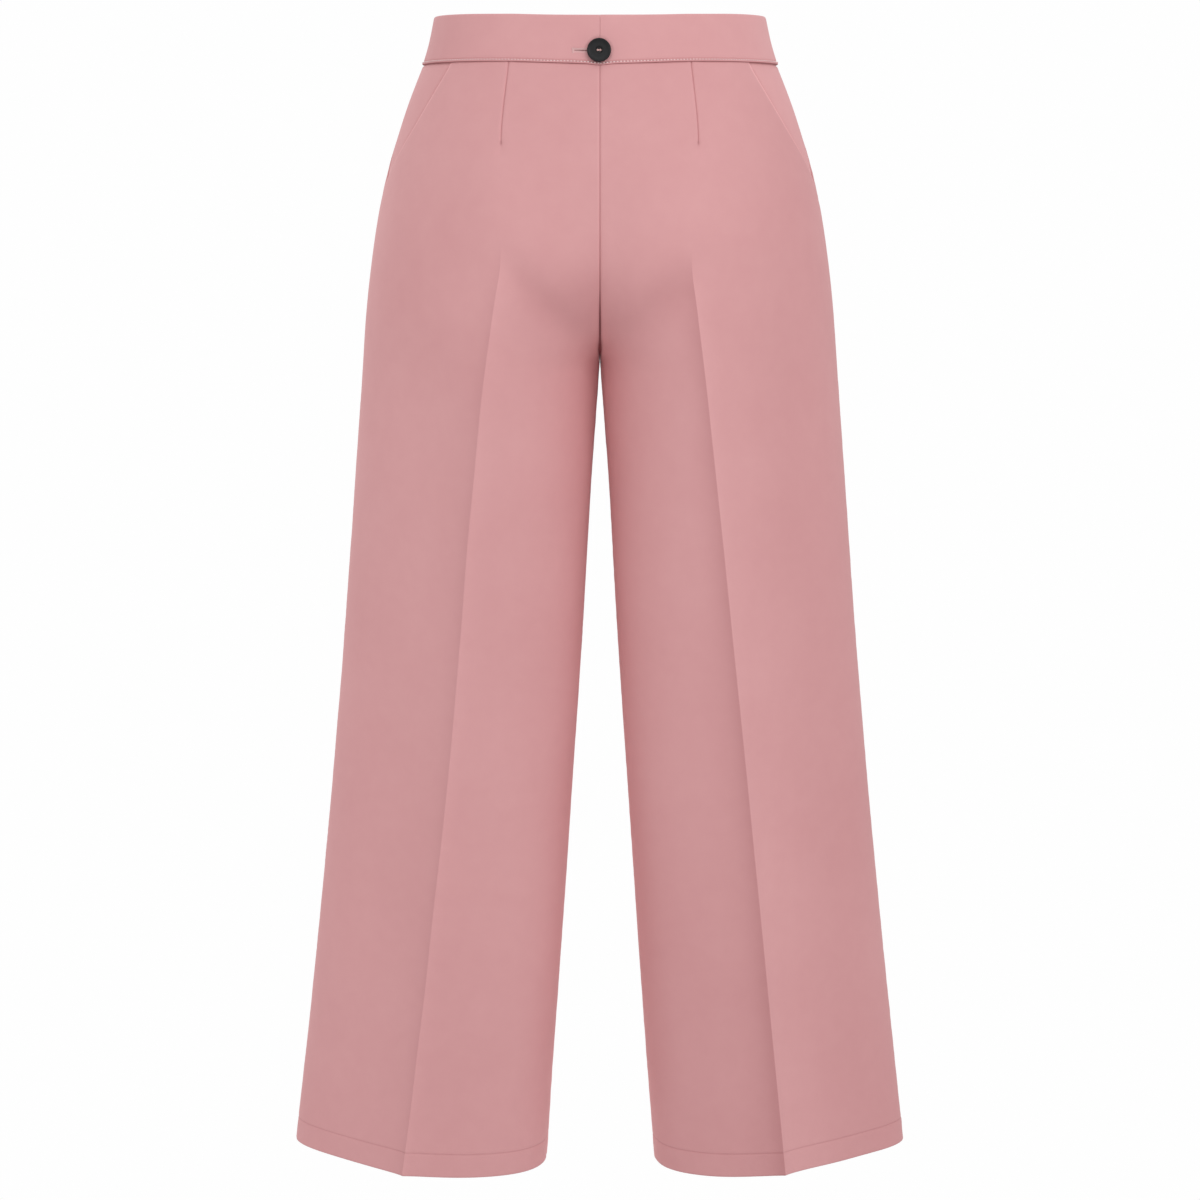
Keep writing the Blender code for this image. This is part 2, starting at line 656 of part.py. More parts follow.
def main():
    for obj in list(bpy.data.objects):
        bpy.data.objects.remove(obj)
    trousers = bpy.data.collections.new("wide_leg_trousers")
    helpers = bpy.data.collections.new("cutters")
    for collection in (trousers, helpers):
        bpy.context.scene.collection.children.link(collection)
    for side, word in ((LEFT, "left"), (RIGHT, "right")):
        panel(f"back_{word}", side, True, SUITING, trousers)
        panel(f"front_{word}", side, False, SUITING, trousers)
        pocket(f"pocket_{word}", side, POCKET_SUITING, trousers)
    band = waistband(BAND_SUITING, trousers)
    cut_buttonhole(band, helpers)
    back_zip(ZIP_TAPE, trousers)
    button(BLACK_PLASTIC, trousers, helpers)
    button_thread(THREAD, trousers, helpers)


main()
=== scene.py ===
import math

import bmesh
import bpy
import numpy as np
from mathutils import Matrix, Vector


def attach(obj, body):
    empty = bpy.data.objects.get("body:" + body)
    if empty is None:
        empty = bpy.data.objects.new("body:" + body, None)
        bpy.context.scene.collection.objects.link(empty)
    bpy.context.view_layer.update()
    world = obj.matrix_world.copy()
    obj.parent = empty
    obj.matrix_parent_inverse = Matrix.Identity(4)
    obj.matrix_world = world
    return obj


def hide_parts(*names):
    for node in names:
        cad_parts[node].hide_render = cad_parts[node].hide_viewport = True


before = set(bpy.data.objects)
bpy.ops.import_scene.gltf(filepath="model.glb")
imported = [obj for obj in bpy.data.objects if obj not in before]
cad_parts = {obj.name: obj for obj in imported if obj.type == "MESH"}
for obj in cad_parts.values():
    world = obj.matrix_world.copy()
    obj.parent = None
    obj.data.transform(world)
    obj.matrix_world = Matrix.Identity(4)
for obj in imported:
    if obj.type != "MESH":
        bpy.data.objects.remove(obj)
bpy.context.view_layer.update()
scene = bpy.context.scene
leftSide, rightSide = -1, 1
print("frame loaded")

inseamRows = [
    # below the fork: depth, x, y, own depth, facing angle
    (0.308, 0.0003, -0.0320, 0.294, 90.0),
    (0.330, 0.0024, -0.0335, 0.323, 90.0),
    (0.360, 0.0050, -0.0360, 0.358, 90.0),
    (0.400, 0.0081, -0.0380, 0.400, 90.0),
    (0.500, 0.0138, -0.0410, 0.500, 90.0),
    (0.700, 0.0270, -0.0440, 0.700, 90.0),
    (1.021, 0.0495, -0.0480, 1.021, 90.0),
]
# The trousers' outer surface, as in the CAD: outlines at each depth under the waistband's top edge.
# One half of an outline runs through four arcs, and turn counts them: 0 centre back or inseam,
# 1 back crease, 2 side, 3 front crease, 4 centre front or inseam. Angles are in degrees.
trouserForm = {
    # depth, sideX, sideY, seamX
    "side": [
        (0.000, 0.1452, 0.000, 0.1196),
        (0.020, 0.1496, 0.000, 0.1236),
        (0.041, 0.1561, 0.000, 0.1278),
        (0.056, 0.1626, 0.000, 0.1374),
        (0.080, 0.1724, 0.000, 0.1534),
        (0.100, 0.1792, 0.000, 0.1664),
        (0.118, 0.1846, 0.000, 0.1779),
        (0.139, 0.1900, 0.000, 0.1885),
        (0.152, 0.1930, -0.001, 0.1928),
        (0.160, 0.1947, -0.001, 0.1947),
        (0.200, 0.2013, -0.001, 0.2013),
        (0.250, 0.2074, -0.002, 0.2074),
        (0.308, 0.2120, -0.004, 0.2120),
        (0.400, 0.2194, -0.005, 0.2194),
        (0.600, 0.2360, -0.007, 0.2360),
        (0.800, 0.2562, -0.009, 0.2562),
        (1.021, 0.2812, -0.011, 0.2812),
    ],
    # depth, leftX, rightX, y, angle out, angle in
    "backCrease": [
        (0.000, 0.0740, 0.0740, -0.0912, 20.0, -20.0),
        (0.041, 0.0777, 0.0777, -0.0972, 20.0, -20.0),
        (0.107, 0.0842, 0.0839, -0.1115, 19.0, -19.0),
        (0.150, 0.0838, 0.0812, -0.1205, 17.0, -17.0),
        (0.200, 0.0842, 0.0780, -0.1275, 15.0, -14.0),
        (0.250, 0.0908, 0.0828, -0.1280, 19.0, -10.0),
        (0.308, 0.0985, 0.0900, -0.1250, 26.0, -8.0),
        (0.360, 0.1042, 0.0959, -0.1220, 30.0, -8.0),
        (0.450, 0.1130, 0.1060, -0.1185, 33.0, -8.0),
        (0.600, 0.1264, 0.1220, -0.1150, 35.0, -9.0),
        (0.800, 0.1482, 0.1432, -0.1105, 37.0, -10.0),
        (1.021, 0.1762, 0.1661, -0.1050, 38.0, -11.0),
    ],
    # depth, x, y, angle out, angle in
    "frontCrease": [
        (0.000, 0.0760, 0.0830, 20.0, -20.0),
        (0.041, 0.0800, 0.0890, 20.0, -20.0),
        (0.107, 0.0870, 0.0990, 18.0, -18.0),
        (0.200, 0.0920, 0.1050, 17.0, -15.0),
        (0.250, 0.0955, 0.1045, 21.0, -11.0),
        (0.308, 0.1010, 0.1020, 26.0, -8.0),
        (0.360, 0.1055, 0.0990, 29.0, -6.0),
        (0.450, 0.1135, 0.0955, 31.0, -5.0),
        (0.600, 0.1275, 0.0915, 33.0, -5.0),
        (0.800, 0.1475, 0.0875, 34.0, -5.0),
        (1.021, 0.1715, 0.0830, 35.0, -5.0),
    ],
    # depth, x, y, own depth, facing angle
    "backInner": [
        (0.000, 0.0000, -0.1060, 0.000, 0.0),
        (0.041, 0.0000, -0.1120, 0.041, 0.0),
        (0.107, 0.0000, -0.1215, 0.107, 0.0),
        (0.150, 0.0000, -0.1258, 0.150, 4.0),
        (0.200, 0.0000, -0.1240, 0.199, 16.0),
        (0.230, 0.0000, -0.1170, 0.229, 28.0),
        (0.250, 0.0000, -0.1070, 0.249, 40.0),
        (0.268, 0.0000, -0.0920, 0.266, 54.0),
        (0.284, 0.0000, -0.0730, 0.279, 68.0),
        (0.297, 0.0000, -0.0520, 0.288, 80.0),
    ] + inseamRows,
    "frontInner": [
        (0.000, 0.0000, 0.0970, 0.000, 0.0),
        (0.041, 0.0000, 0.1030, 0.041, 0.0),
        (0.107, 0.0000, 0.1120, 0.107, 0.0),
        (0.150, 0.0000, 0.1140, 0.150, 2.0),
        (0.200, 0.0000, 0.1110, 0.200, 12.0),
        (0.230, 0.0000, 0.1030, 0.229, 26.0),
        (0.250, 0.0000, 0.0920, 0.248, 40.0),
        (0.268, 0.0000, 0.0740, 0.265, 54.0),
        (0.284, 0.0000, 0.0480, 0.279, 68.0),
        (0.297, 0.0000, 0.0120, 0.289, 80.0),
    ] + inseamRows,
    # depth, at the side, at a crease, at the inner edge: how far each arc runs on before it turns
    "fullness": [
        (0.000, 0.38, 0.34, 0.33),
        (0.200, 0.38, 0.34, 0.33),
        (0.308, 0.33, 0.38, 0.30),
        (0.450, 0.27, 0.44, 0.36),
        (0.700, 0.23, 0.48, 0.42),
        (1.021, 0.20, 0.50, 0.46),
    ],
    # depth, y
    "pocketMouth": [
        (0.000, 0.0450),
        (0.041, 0.0300),
        (0.070, 0.0140),
        (0.104, 0.0010),
        (0.122, -0.0050),
        (0.139, -0.0120),
    ],
    # depth, how far the pocket reaches forward of the side seam
    "pocketBag": [
        (0.041, 0.1320),
        (0.140, 0.1180),
        (0.210, 0.0960),
        (0.250, 0.0600),
        (0.262, 0.0320),
    ],
    "length": 1.021,
    "bandHeight": 0.041,
    "bandDip": 0.003,
    "hemSideLift": 0.0035,
    "pocketEnd": 0.139,
    "dartEnd": 0.1067,
}


def ease(t):
    t = np.clip(t, 0.0, 1.0)
    return t * t * (3 - 2 * t)


def hump(distance, width):
    return np.exp(-((distance / width) ** 2))


def runAlong(points):
    # how far along its row each point lies
    steps = np.linalg.norm(np.diff(points, axis=-2), axis=-1)
    return np.concatenate([np.zeros((*steps.shape[:-1], 1)), np.cumsum(steps, -1)], -1)


def curveThrough(table, column, depth):
    rows = trouserForm[table]
    at = np.array([row[0] for row in rows])
    value = np.array([row[column] for row in rows])
    step = np.diff(at)
    slope = np.diff(value) / step
    tangent = np.zeros(len(at))
    tangent[0], tangent[-1] = slope[0], slope[-1]
    for k in range(1, len(at) - 1):
        before, after = slope[k - 1], slope[k]
        if before * after > 0:
            a, b = 2 * step[k] + step[k - 1], step[k] + 2 * step[k - 1]
            tangent[k] = (a + b) / (a / before + b / after)

    def plain(d):
        inside = np.clip(d, at[0], at[-1])
        i = np.clip(np.searchsorted(at, inside, side="right") - 1, 0, len(at) - 2)
        h = step[i]
        t = (inside - at[i]) / h
        found = value[i] * (1 + 2 * t) * (1 - t) ** 2 + tangent[i] * h * t * (1 - t) ** 2
        found = found + value[i + 1] * t * t * (3 - 2 * t) - tangent[i + 1] * h * t * t * (1 - t)
        beyond = d - inside
        return found + beyond * np.where(beyond < 0, slope[0], slope[-1])

    softening = ((-0.012, 0.1), (-0.006, 0.2), (0.0, 0.4), (0.006, 0.2), (0.012, 0.1))
    return sum(weight * plain(depth + offset) for offset, weight in softening)


def arcsAt(side, depth):
    def pair(table, xColumn, yColumn):
        return np.stack([curveThrough(table, xColumn, depth), curveThrough(table, yColumn, depth)], -1)

    def heading(table, column, alongX, alongY):
        angle = np.radians(curveThrough(table, column, depth))
        return np.stack([alongX * np.cos(angle), alongY * np.sin(angle)], -1)

    backIn, frontIn = pair("backInner", 1, 2), pair("frontInner", 1, 2)
    back = pair("backCrease", 1 if side == leftSide else 2, 3)
    front, outer = pair("frontCrease", 1, 2), pair("side", 1, 2)
    backward = np.broadcast_to([0.0, -1.0], outer.shape)
    backTurn, frontTurn = heading("backInner", 4, 1, -1), heading("frontInner", 4, 1, 1)
    atSide, atCrease, atInner = (curveThrough("fullness", column, depth) for column in (1, 2, 3))
    arcs = (
        (backIn, backTurn, atInner, back, heading("backCrease", 5, -1, 1), atCrease),
        (back, heading("backCrease", 4, 1, 1), atCrease, outer, backward, atSide),
        (outer, -backward, atSide, front, heading("frontCrease", 3, 1, -1), atCrease),
        (front, heading("frontCrease", 4, -1, -1), atCrease, frontIn, frontTurn, atInner),
    )
    controls = []
    for start, leaves, near, end, arrives, far in arcs:
        chord = np.linalg.norm(end - start, axis=-1)
        first = start + leaves * (near * chord)[:, None]
        second = end + arrives * (far * chord)[:, None]
        controls.append(np.stack([start, first, second, end], 1))
    return np.stack(controls, 1)


def formAt(side, depth, turn):
    controls = arcsAt(side, depth)
    rows = np.arange(len(depth))[:, None]
    arc = np.clip(turn.astype(int), 0, 3)
    t = (turn - arc)[..., None]
    c = controls[rows, arc]
    plan = c[..., 0, :] * (1 - t) ** 3 + 3 * c[..., 1, :] * t * (1 - t) ** 2
    plan = plan + 3 * c[..., 2, :] * t * t * (1 - t) + c[..., 3, :] * t ** 3
    down = depth[:, None]
    inward = np.where(turn < 1, 1 - turn, np.maximum(turn - 3, 0))
    backFall = (curveThrough("backInner", 3, depth) - depth)[:, None]
    frontFall = (curveThrough("frontInner", 3, depth) - depth)[:, None]
    fall = np.where(turn < 2, backFall, frontFall) * ease(inward)
    fromCentre = np.minimum(turn, 4 - turn)
    lift = trouserForm["bandDip"] * ease(fromCentre / 1.4)
    lift = lift * (1 - ease((down - trouserForm["bandHeight"]) / 0.06))
    hemLift = trouserForm["hemSideLift"] * ease(fromCentre - 1) * ease((down - 0.9) / 0.121)
    x = side * np.maximum(plan[..., 0], 0.00005)
    return np.stack([x, plan[..., 1], -down - fall + lift + hemLift], -1)


def normalsAt(side, depth, turn):
    ahead = formAt(side, depth, np.minimum(turn + 0.004, 4.0))
    along = ahead - formAt(side, depth, np.maximum(turn - 0.004, 0.0))
    down = formAt(side, depth + 0.001, turn) - formAt(side, depth - 0.001, turn)
    normal = np.cross(along, down) * -side
    return normal / np.linalg.norm(normal, axis=-1, keepdims=True)


def seamTurns(side, depth):
    turns = np.linspace(1.0, 2.0, 400)
    outline = np.abs(formAt(side, depth, np.broadcast_to(turns, (len(depth), 400)))[..., 0])
    seamX = curveThrough("side", 3, depth)
    found = [np.interp(x, line, turns) if x < line[-1] - 0.00002 else 2.0 for x, line in zip(seamX, outline)]
    return np.array(found)


def mouthTurns(side, depth):
    turns = np.linspace(1.0, 3.0, 600)
    outline = formAt(side, depth, np.broadcast_to(turns, (len(depth), 600)))[..., 1]
    mouthY = curveThrough("pocketMouth", 1, depth)
    found = np.array([np.interp(y, line, turns) for y, line in zip(mouthY, outline)])
    return np.where(depth < trouserForm["pocketEnd"], found, seamTurns(side, depth))


def distancesAlong(side, depth, start, end):
    share = np.linspace(0.0, 1.0, 160)
    turns = start[:, None] + (end - start)[:, None] * share
    return turns, runAlong(formAt(side, depth, turns))


def turnsAt(side, depth, start, end, marks):
    # marks are (kind, value): near and far are distances from the two ends, between is a share
    turns, reached = distancesAlong(side, depth, start, end)
    nearest = max((value for kind, value in marks if kind == "near"), default=0.0)
    farthest = max((value for kind, value in marks if kind == "far"), default=0.0)
    found = []
    for line, run in zip(turns, reached):
        length = run[-1]
        places = []
        for kind, value in marks:
            if kind == "near":
                places.append(value)
            elif kind == "far":
                places.append(length - value)
            else:
                places.append(nearest + (length - nearest - farthest) * value)
        found.append(np.interp(places, run, line))
    return np.array(found)


def uneven(seed, first, second, waves, shortest, longest):
    # a sum of slow waves in two directions, the same on every run
    chooser = np.random.default_rng(seed)
    total = np.zeros(np.broadcast(first, second).shape)
    for _ in range(waves):
        length = chooser.uniform(shortest, longest)
        angle = chooser.uniform(0, math.pi)
        phase = chooser.uniform(0, 2 * math.pi)
        along = first * math.cos(angle) + second * math.sin(angle)
        total = total + np.sin(2 * math.pi * along / length + phase)
    return total / math.sqrt(waves)


def keepMesh(name, shape):
    mesh = bpy.data.meshes.new(name)
    shape.to_mesh(mesh)
    shape.free()
    return mesh


def addObject(name, data):
    thing = bpy.data.objects.new(name, data)
    scene.collection.objects.link(thing)
    return thing


def clothMap(across, down):
    # the cloth's own coordinates at each point, in metres
    return np.stack(np.broadcast_arrays(across, -down), -1)


def nearestTo(values, wanted):
    return int(np.argmin(np.abs(values - wanted)))


def clothMesh(name, points, cloth, outwards, tone=None):
    # a grid through rows of points, with the cloth's own coordinates as its UV map. tone is painted light
    # and shade: how much lighter (above nothing) or deeper the cloth is painted at each point
    rows, columns = points.shape[:2]
    grid = bmesh.new()
    bmesh.ops.create_grid(grid, x_segments=columns - 1, y_segments=rows - 1, size=1.0)
    mesh = keepMesh(name, grid)
    flat = np.zeros(len(mesh.vertices) * 3)
    mesh.vertices.foreach_get("co", flat)
    flat = flat.reshape(-1, 3)
    column = np.rint((flat[:, 0] + 1) / 2 * (columns - 1)).astype(int)
    row = np.rint((1 - flat[:, 1]) / 2 * (rows - 1)).astype(int)
    mesh.vertices.foreach_set("co", points[row, column].astype(np.float32).ravel())
    corners = np.zeros(len(mesh.loops), dtype=np.int32)
    mesh.loops.foreach_get("vertex_index", corners)
    layer = mesh.uv_layers.new(name="cloth")
    layer.data.foreach_set("uv", cloth[row[corners], column[corners]].astype(np.float32).ravel())
    if tone is not None:
        nap = mesh.attributes.new("nap", "FLOAT", "POINT")
        tone = np.maximum(tone, clothLook["paintedShadingDeepest"])
        nap.data.foreach_set("value", tone[row, column].astype(np.float32))
    mesh.update()
    middle = mesh.polygons[len(mesh.polygons) // 2]
    if middle.normal.dot(Vector(outwards)) < 0:
        mesh.flip_normals()
    mesh.shade_smooth()
    return mesh


def addPiece(name, mesh, material, nodes=()):
    piece = addObject(name, mesh)
    piece.data.materials.append(material)
    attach(piece, "root")
    if nodes:
        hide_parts(*nodes)
    return piece


def thicken(piece, thickness):
    # a wall on the inner side of the sheet
    wall = piece.modifiers.new("wall", "SOLIDIFY")
    wall.thickness = thickness
    wall.offset = -1.0


def cutWith(piece, shape):
    # cuts a closed shape out of the piece for good
    cutter = addObject("cutter", keepMesh("cutter", shape))
    cut = piece.modifiers.new("cut", "BOOLEAN")
    cut.object = cutter
    cut.operation = "DIFFERENCE"
    bpy.context.view_layer.update()
    ready = piece.evaluated_get(bpy.context.evaluated_depsgraph_get())
    mesh = bpy.data.meshes.new_from_object(ready)
    piece.modifiers.remove(cut)
    piece.data = mesh
    bpy.data.objects.remove(cutter)


def turnTo(along, normal, place):
    # a matrix that takes X along a stitch and Z out of the cloth
    x = Vector(along).normalized()
    y = Vector(normal).cross(x).normalized()
    z = x.cross(y)
    return Matrix.Translation(Vector(place)) @ Matrix((x, y, z)).transposed().to_4x4()


def stitchMesh(name, stitches):
    # stitches are (place, along, normal, length, width, height), each a small plump lens of thread
    lens = bmesh.new()
    lying = Matrix.Rotation(math.radians(90), 4, "Y")
    bmesh.ops.create_uvsphere(lens, u_segments=6, v_segments=5, radius=0.5, matrix=lying)
    single = keepMesh("stitch", lens)
    sewn = bmesh.new()
    for place, along, normal, length, width, height in stitches:
        matrix = turnTo(along, normal, place) @ Matrix.Diagonal((length, width, height, 1.0))
        single.transform(matrix)
        sewn.from_mesh(single)
        single.transform(matrix.inverted())
    mesh = keepMesh(name, sewn)
    bpy.data.meshes.remove(single)
    mesh.shade_smooth()
    return mesh


def walkLine(line, normals, pitch, start):
    # places a pitch apart along a line of points, with the way along it and out of the cloth
    run = runAlong(line)
    marks = np.arange(start, run[-1], pitch)

    def at(values, places):
        return np.stack([np.interp(places, run, values[:, k]) for k in range(3)], -1)

    along = at(line, marks + 0.001) - at(line, marks - 0.001)
    return list(zip(at(line, marks), along, at(normals, marks)))


# Materials

clothLook = {
    "light": (0.708, 0.366, 0.373),
    "dark": (0.662, 0.326, 0.334),
    "sheenTint": (0.95, 0.72, 0.72),
    "roughness": 0.85,
    "sheen": 0.16,
    "weavePitch": 0.00055,
    "weaveBump": 0.00005,
    # the painted light and shade: how much it changes each channel, and its deepest painted shade
    "paintedShadingColour": (1.0, 1.30, 1.28),
    "paintedShadingDeepest": -0.74,
}
threadLook = {
    "band": (0.97, 0.78, 0.77),
    # the hem thread is dark: painted shade for the stitches sunk in their groove
    "hem": (0.24, 0.09, 0.10),
    "buttonhole": (0.80, 0.50, 0.50),
    "button": (0.86, 0.56, 0.52),
}
plasticLook = {"black": (0.0052, 0.0048, 0.0058), "roughness": 0.42}


def put(tree, socket, value):
    # links a node's output to the socket, or sets a plain value on it
    if isinstance(value, bpy.types.NodeSocket):
        tree.links.new(value, socket)
    else:
        socket.default_value = value


def nodeMaker(tree):
    def add(kind, settings=None, inputs=(), **sockets):
        node = tree.nodes.new(kind)
        for key, value in (settings or {}).items():
            setattr(node, key, value)
        for key, value in list(enumerate(inputs)) + list(sockets.items()):
            put(tree, node.inputs[key], value)
        return node

    return add


def newMaterial(name, roughness, specular, sheen=0.0):
    material = bpy.data.materials.new(name)
    material.use_nodes = True
    tree = material.node_tree
    shader = tree.nodes["Principled BSDF"]
    shader.inputs["Roughness"].default_value = roughness
    shader.inputs["Specular IOR Level"].default_value = specular
    if sheen:
        shader.inputs["Sheen Weight"].default_value = sheen
        shader.inputs["Sheen Roughness"].default_value = 0.5
        shader.inputs["Sheen Tint"].default_value = (*clothLook["sheenTint"], 1.0)
    add = nodeMaker(tree)

    def finish(colour, height, strength, distance):
        put(tree, shader.inputs["Base Color"], colour)
        bump = add("ShaderNodeBump", Strength=strength, Distance=distance, Height=height)
        put(tree, shader.inputs["Normal"], bump.outputs["Normal"])
        return material

    return add, finish


def weighted(add, parts):
    # the sum of several values, each times its weight
    total = 0.0
    for value, weight in parts:
        total = add("ShaderNodeMath", {"operation": "MULTIPLY_ADD"}, (value, weight, total)).outputs[0]
    return total


def twoTone(add, value, low, high, dark, light):
    ramp = add("ShaderNodeValToRGB", Fac=value)
    for end, place, colour in zip(ramp.color_ramp.elements, (low, high), (dark, light)):
        end.position = place
        end.color = (*colour, 1.0)
    return ramp.outputs["Color"]


def noise(add, space, scale, detail, roughness=0.5):
    kind = "ShaderNodeTexNoise"
    return add(kind, Vector=space, Scale=scale, Detail=detail, Roughness=roughness).outputs["Fac"]


def makeCloth(name, tone=1.0):
    add, finish = newMaterial(name, clothLook["roughness"], 0.2, clothLook["sheen"])
    place = add("ShaderNodeUVMap", {"uv_map": "cloth"}).outputs["UV"]
    solid = add("ShaderNodeTexCoord").outputs["Object"]
    broad, middle = noise(add, solid, 9.0, 3.0, 0.55), noise(add, solid, 70.0, 3.0, 0.6)
    fibre = noise(add, place, 1500.0, 2.0, 0.7)
    # fine diagonal lines of a twill, in the cloth's own coordinates
    bands = {"wave_type": "BANDS", "bands_direction": "DIAGONAL"}
    pitch = 0.31416 / clothLook["weavePitch"]
    twill = add("ShaderNodeTexWave", bands, Vector=place, Scale=pitch, Distortion=0.6, Detail=1.0)
    blend = weighted(add, ((broad, 0.55), (middle, 0.25), (fibre, 0.20)))
    dark, light = ([c * tone for c in clothLook[end]] for end in ("dark", "light"))
    colour = twoTone(add, blend, 0.30, 0.70, dark, light)
    # the painted light and shade, set point by point on the mesh, change the colour by a share for each of
    # its parts
    nap = add("ShaderNodeAttribute", {"attribute_name": "nap"}).outputs["Fac"]
    spread = add("ShaderNodeCombineXYZ", X=nap, Y=nap, Z=nap).outputs["Vector"]
    shares = (spread, clothLook["paintedShadingColour"], (1.0, 1.0, 1.0))
    change = add("ShaderNodeVectorMath", {"operation": "MULTIPLY_ADD"}, shares).outputs["Vector"]
    shadedColour = add("ShaderNodeVectorMath", {"operation": "MULTIPLY"}, (colour, change)).outputs["Vector"]
    height = weighted(add, ((fibre, 0.6), (twill.outputs["Fac"], 1.0)))
    return finish(shadedColour, height, 0.5, clothLook["weaveBump"])


def makeThread(name, colour):
    add, finish = newMaterial(name, 0.62, 0.35, 0.2)
    ply = noise(add, add("ShaderNodeTexCoord").outputs["Object"], 2600.0, 2.0)
    dark = [c * 0.84 for c in colour]
    return finish(twoTone(add, ply, 0.3, 0.7, dark, colour), ply, 0.6, 0.00008)


def makeBlackPlastic(name):
    add, finish = newMaterial(name, plasticLook["roughness"], 0.30)
    solid = add("ShaderNodeTexCoord").outputs["Object"]
    cloud, rub = noise(add, solid, 160.0, 4.0), noise(add, solid, 2200.0, 3.0)
    value = weighted(add, ((cloud, 0.6), (rub, 0.4)))
    dark, light = ([c * share for c in plasticLook["black"]] for share in (0.8, 1.5))
    return finish(twoTone(add, value, 0.35, 0.7, dark, light), rub, 0.35, 0.00003)


suiting = makeCloth("pinkSuiting")
bandSuiting = makeCloth("waistbandSuiting", 1.01)
# a lighter copy of the suiting: painted light for the pocket facings, which sit back in the mouth
pocketSuiting = makeCloth("pocketSuiting", 1.02)
tapeCloth = makeCloth("zipTape", 0.95)
threads = {use: makeThread(f"{use}Thread", colour) for use, colour in threadLook.items()}
blackPlastic = makeBlackPlastic("blackButtonPlastic")
print("materials made")

# Fronts and backs

panelCut = {
    "foldRadius": 0.00045,
    "hemFoldRadius": 0.0008,
    "thickness": 0.0005,
    "rowStep": 0.0036,
    "between": 24,
    "seamDip": 0.00030,
    "seatSeamDip": 0.00035,
    "dartGroove": 0.0013,
    "creaseHeight": 0.0019,
    "creaseWidth": 0.0080,
    "hemTurnUp": 0.0225,
    "hemGroove": 0.00042,
    "hemStitchUp": 0.0212,
    "hemStitchPitch": 0.00245,
    # place above the cloth, length, width and height of one stitch
    "hemStitch": (0.00010, 0.0015, 0.00074, 0.00044),
    # the flat size that each was cut to, with its area
    "backFlat": (0.345, 1.045),
    "backArea": 0.319,
    "frontFlat": (0.365, 1.045),
    "frontArea": 0.354,
}
# distances of the lines of points from a panel's edge (back along the seam allowance, then out on the
# panel) and from its crease
allowanceMarks = (0.0120, 0.0090, 0.0055, 0.0020)
foldAngles = np.radians(np.linspace(180, 0, 7))
edgeMarks = (0.0009, 0.0015, 0.0024, 0.0036, 0.0052, 0.0072, 0.0096, 0.0118, 0.0134, 0.0165)
creaseMarks = (0.0, 0.0002, 0.0005, 0.0010, 0.0018, 0.0030, 0.0046, 0.0068, 0.0096, 0.0132, 0.0178)
# Soft folds of the backs. Each is a line of points (x, z) with its depth and half width in metres:
# a trough where the depth is positive, a ridge where it is negative.
backFolds = [
    ("seatLeft", ((-0.084, -0.206), (-0.062, -0.228), (-0.036, -0.256), (-0.010, -0.281)), 0.0036, 0.0135),
    ("seatRight", ((0.080, -0.212), (0.058, -0.234), (0.034, -0.260), (0.010, -0.282)), 0.0028, 0.0135),
    ("rightRippleOne", ((0.104, -0.040), (0.107, -0.066), (0.110, -0.092)), 0.00045, 0.0042),
    ("rightRippleTwo", ((0.114, -0.041), (0.118, -0.070), (0.122, -0.094)), 0.00040, 0.0038),
    ("rightRippleThree", ((0.092, -0.041), (0.094, -0.062)), 0.00030, 0.0036),
    ("leftHipLine", ((-0.126, -0.045), (-0.132, -0.056), (-0.139, -0.066)), -0.00050, 0.0040),
    ("leftDartTip", ((-0.0842, -0.1045), (-0.0843, -0.1085)), 0.0008, 0.0014),
    ("rightDartTip", ((0.0838, -0.1040), (0.0841, -0.1080)), 0.0008, 0.0014),
    ("leftDartDimple", ((-0.0845, -0.108), (-0.0847, -0.118)), 0.0008, 0.0042),
    ("rightDartDimple", ((0.0842, -0.108), (0.0846, -0.117)), 0.0008, 0.0040),
]
frontFolds = [
    ("frontForkLeft", ((-0.070, -0.225), (-0.044, -0.240), (-0.018, -0.262)), 0.0016, 0.012),
    ("frontForkRight", ((0.072, -0.222), (0.046, -0.238), (0.020, -0.260)), 0.0013, 0.012),
    ("frontHipLeft", ((-0.118, -0.060), (-0.112, -0.100), (-0.106, -0.140)), 0.0006, 0.010),
    ("frontHipRight", ((0.120, -0.062), (0.115, -0.104), (0.108, -0.150)), 0.0005, 0.011),
]


def foldHeight(points, folds):
    total = np.zeros(points.shape[:-1])
    x, z = points[..., 0], points[..., 2]
    for _, line, deep, width in folds:
        nearest = np.full(x.shape, 1.0)
        fade = np.ones(x.shape)
        for k, (start, end) in enumerate(zip(line, line[1:])):
            run = np.subtract(end, start)
            t = ((x - start[0]) * run[0] + (z - start[1]) * run[1]) / run.dot(run)
            held = np.clip(t, 0.0, 1.0)
            away = np.hypot(x - start[0] - held * run[0], z - start[1] - held * run[1])
            closer = away < nearest
            nearest = np.where(closer, away, nearest)
            share = (k + held) / (len(line) - 1)
            fade = np.where(closer, np.sin(math.pi * (0.12 + 0.76 * share)), fade)
        total = total - deep * hump(nearest, width) * fade
    return total


# How much lighter (above nothing) or deeper the cloth is painted, on the left back and on the right back:
# painted shade and painted highlight. These amounts are set to the shading in the photograph, and stand in
# for light and shade: they aren't shape.
backTones = {
    "beforeCrease": (-0.07, -0.17),
    "afterCrease": (0.04, 0.05),
    "innerLeg": (0.0, -0.025),
    "lowerLeg": (-0.018, -0.015),
    "lowerInnerLeg": (-0.016, -0.046),
    "underSeat": (-0.078, -0.078),
    "besideFork": (-0.125, -0.075),
    "inseamEdge": (0.22, 0.30),
    "inseamSide": (0.05, 0.15),
    "seatSeamEdge": (0.06, 0.0),
    "sideSeam": (0.20, 0.30),
    "pocketEnd": (0.0, -0.42),
    # in metres: the depth where the crease starts to show, and the reach of the tone before it
    "creaseStart": (0.184, 0.195),
    "creaseReach": (0.010, 0.014),
}
# painted light and shade towards the side seams, on a back and a front: lighter on the left, darker on the
# right
sideTones = {leftSide: 0.015, rightSide: -0.060}
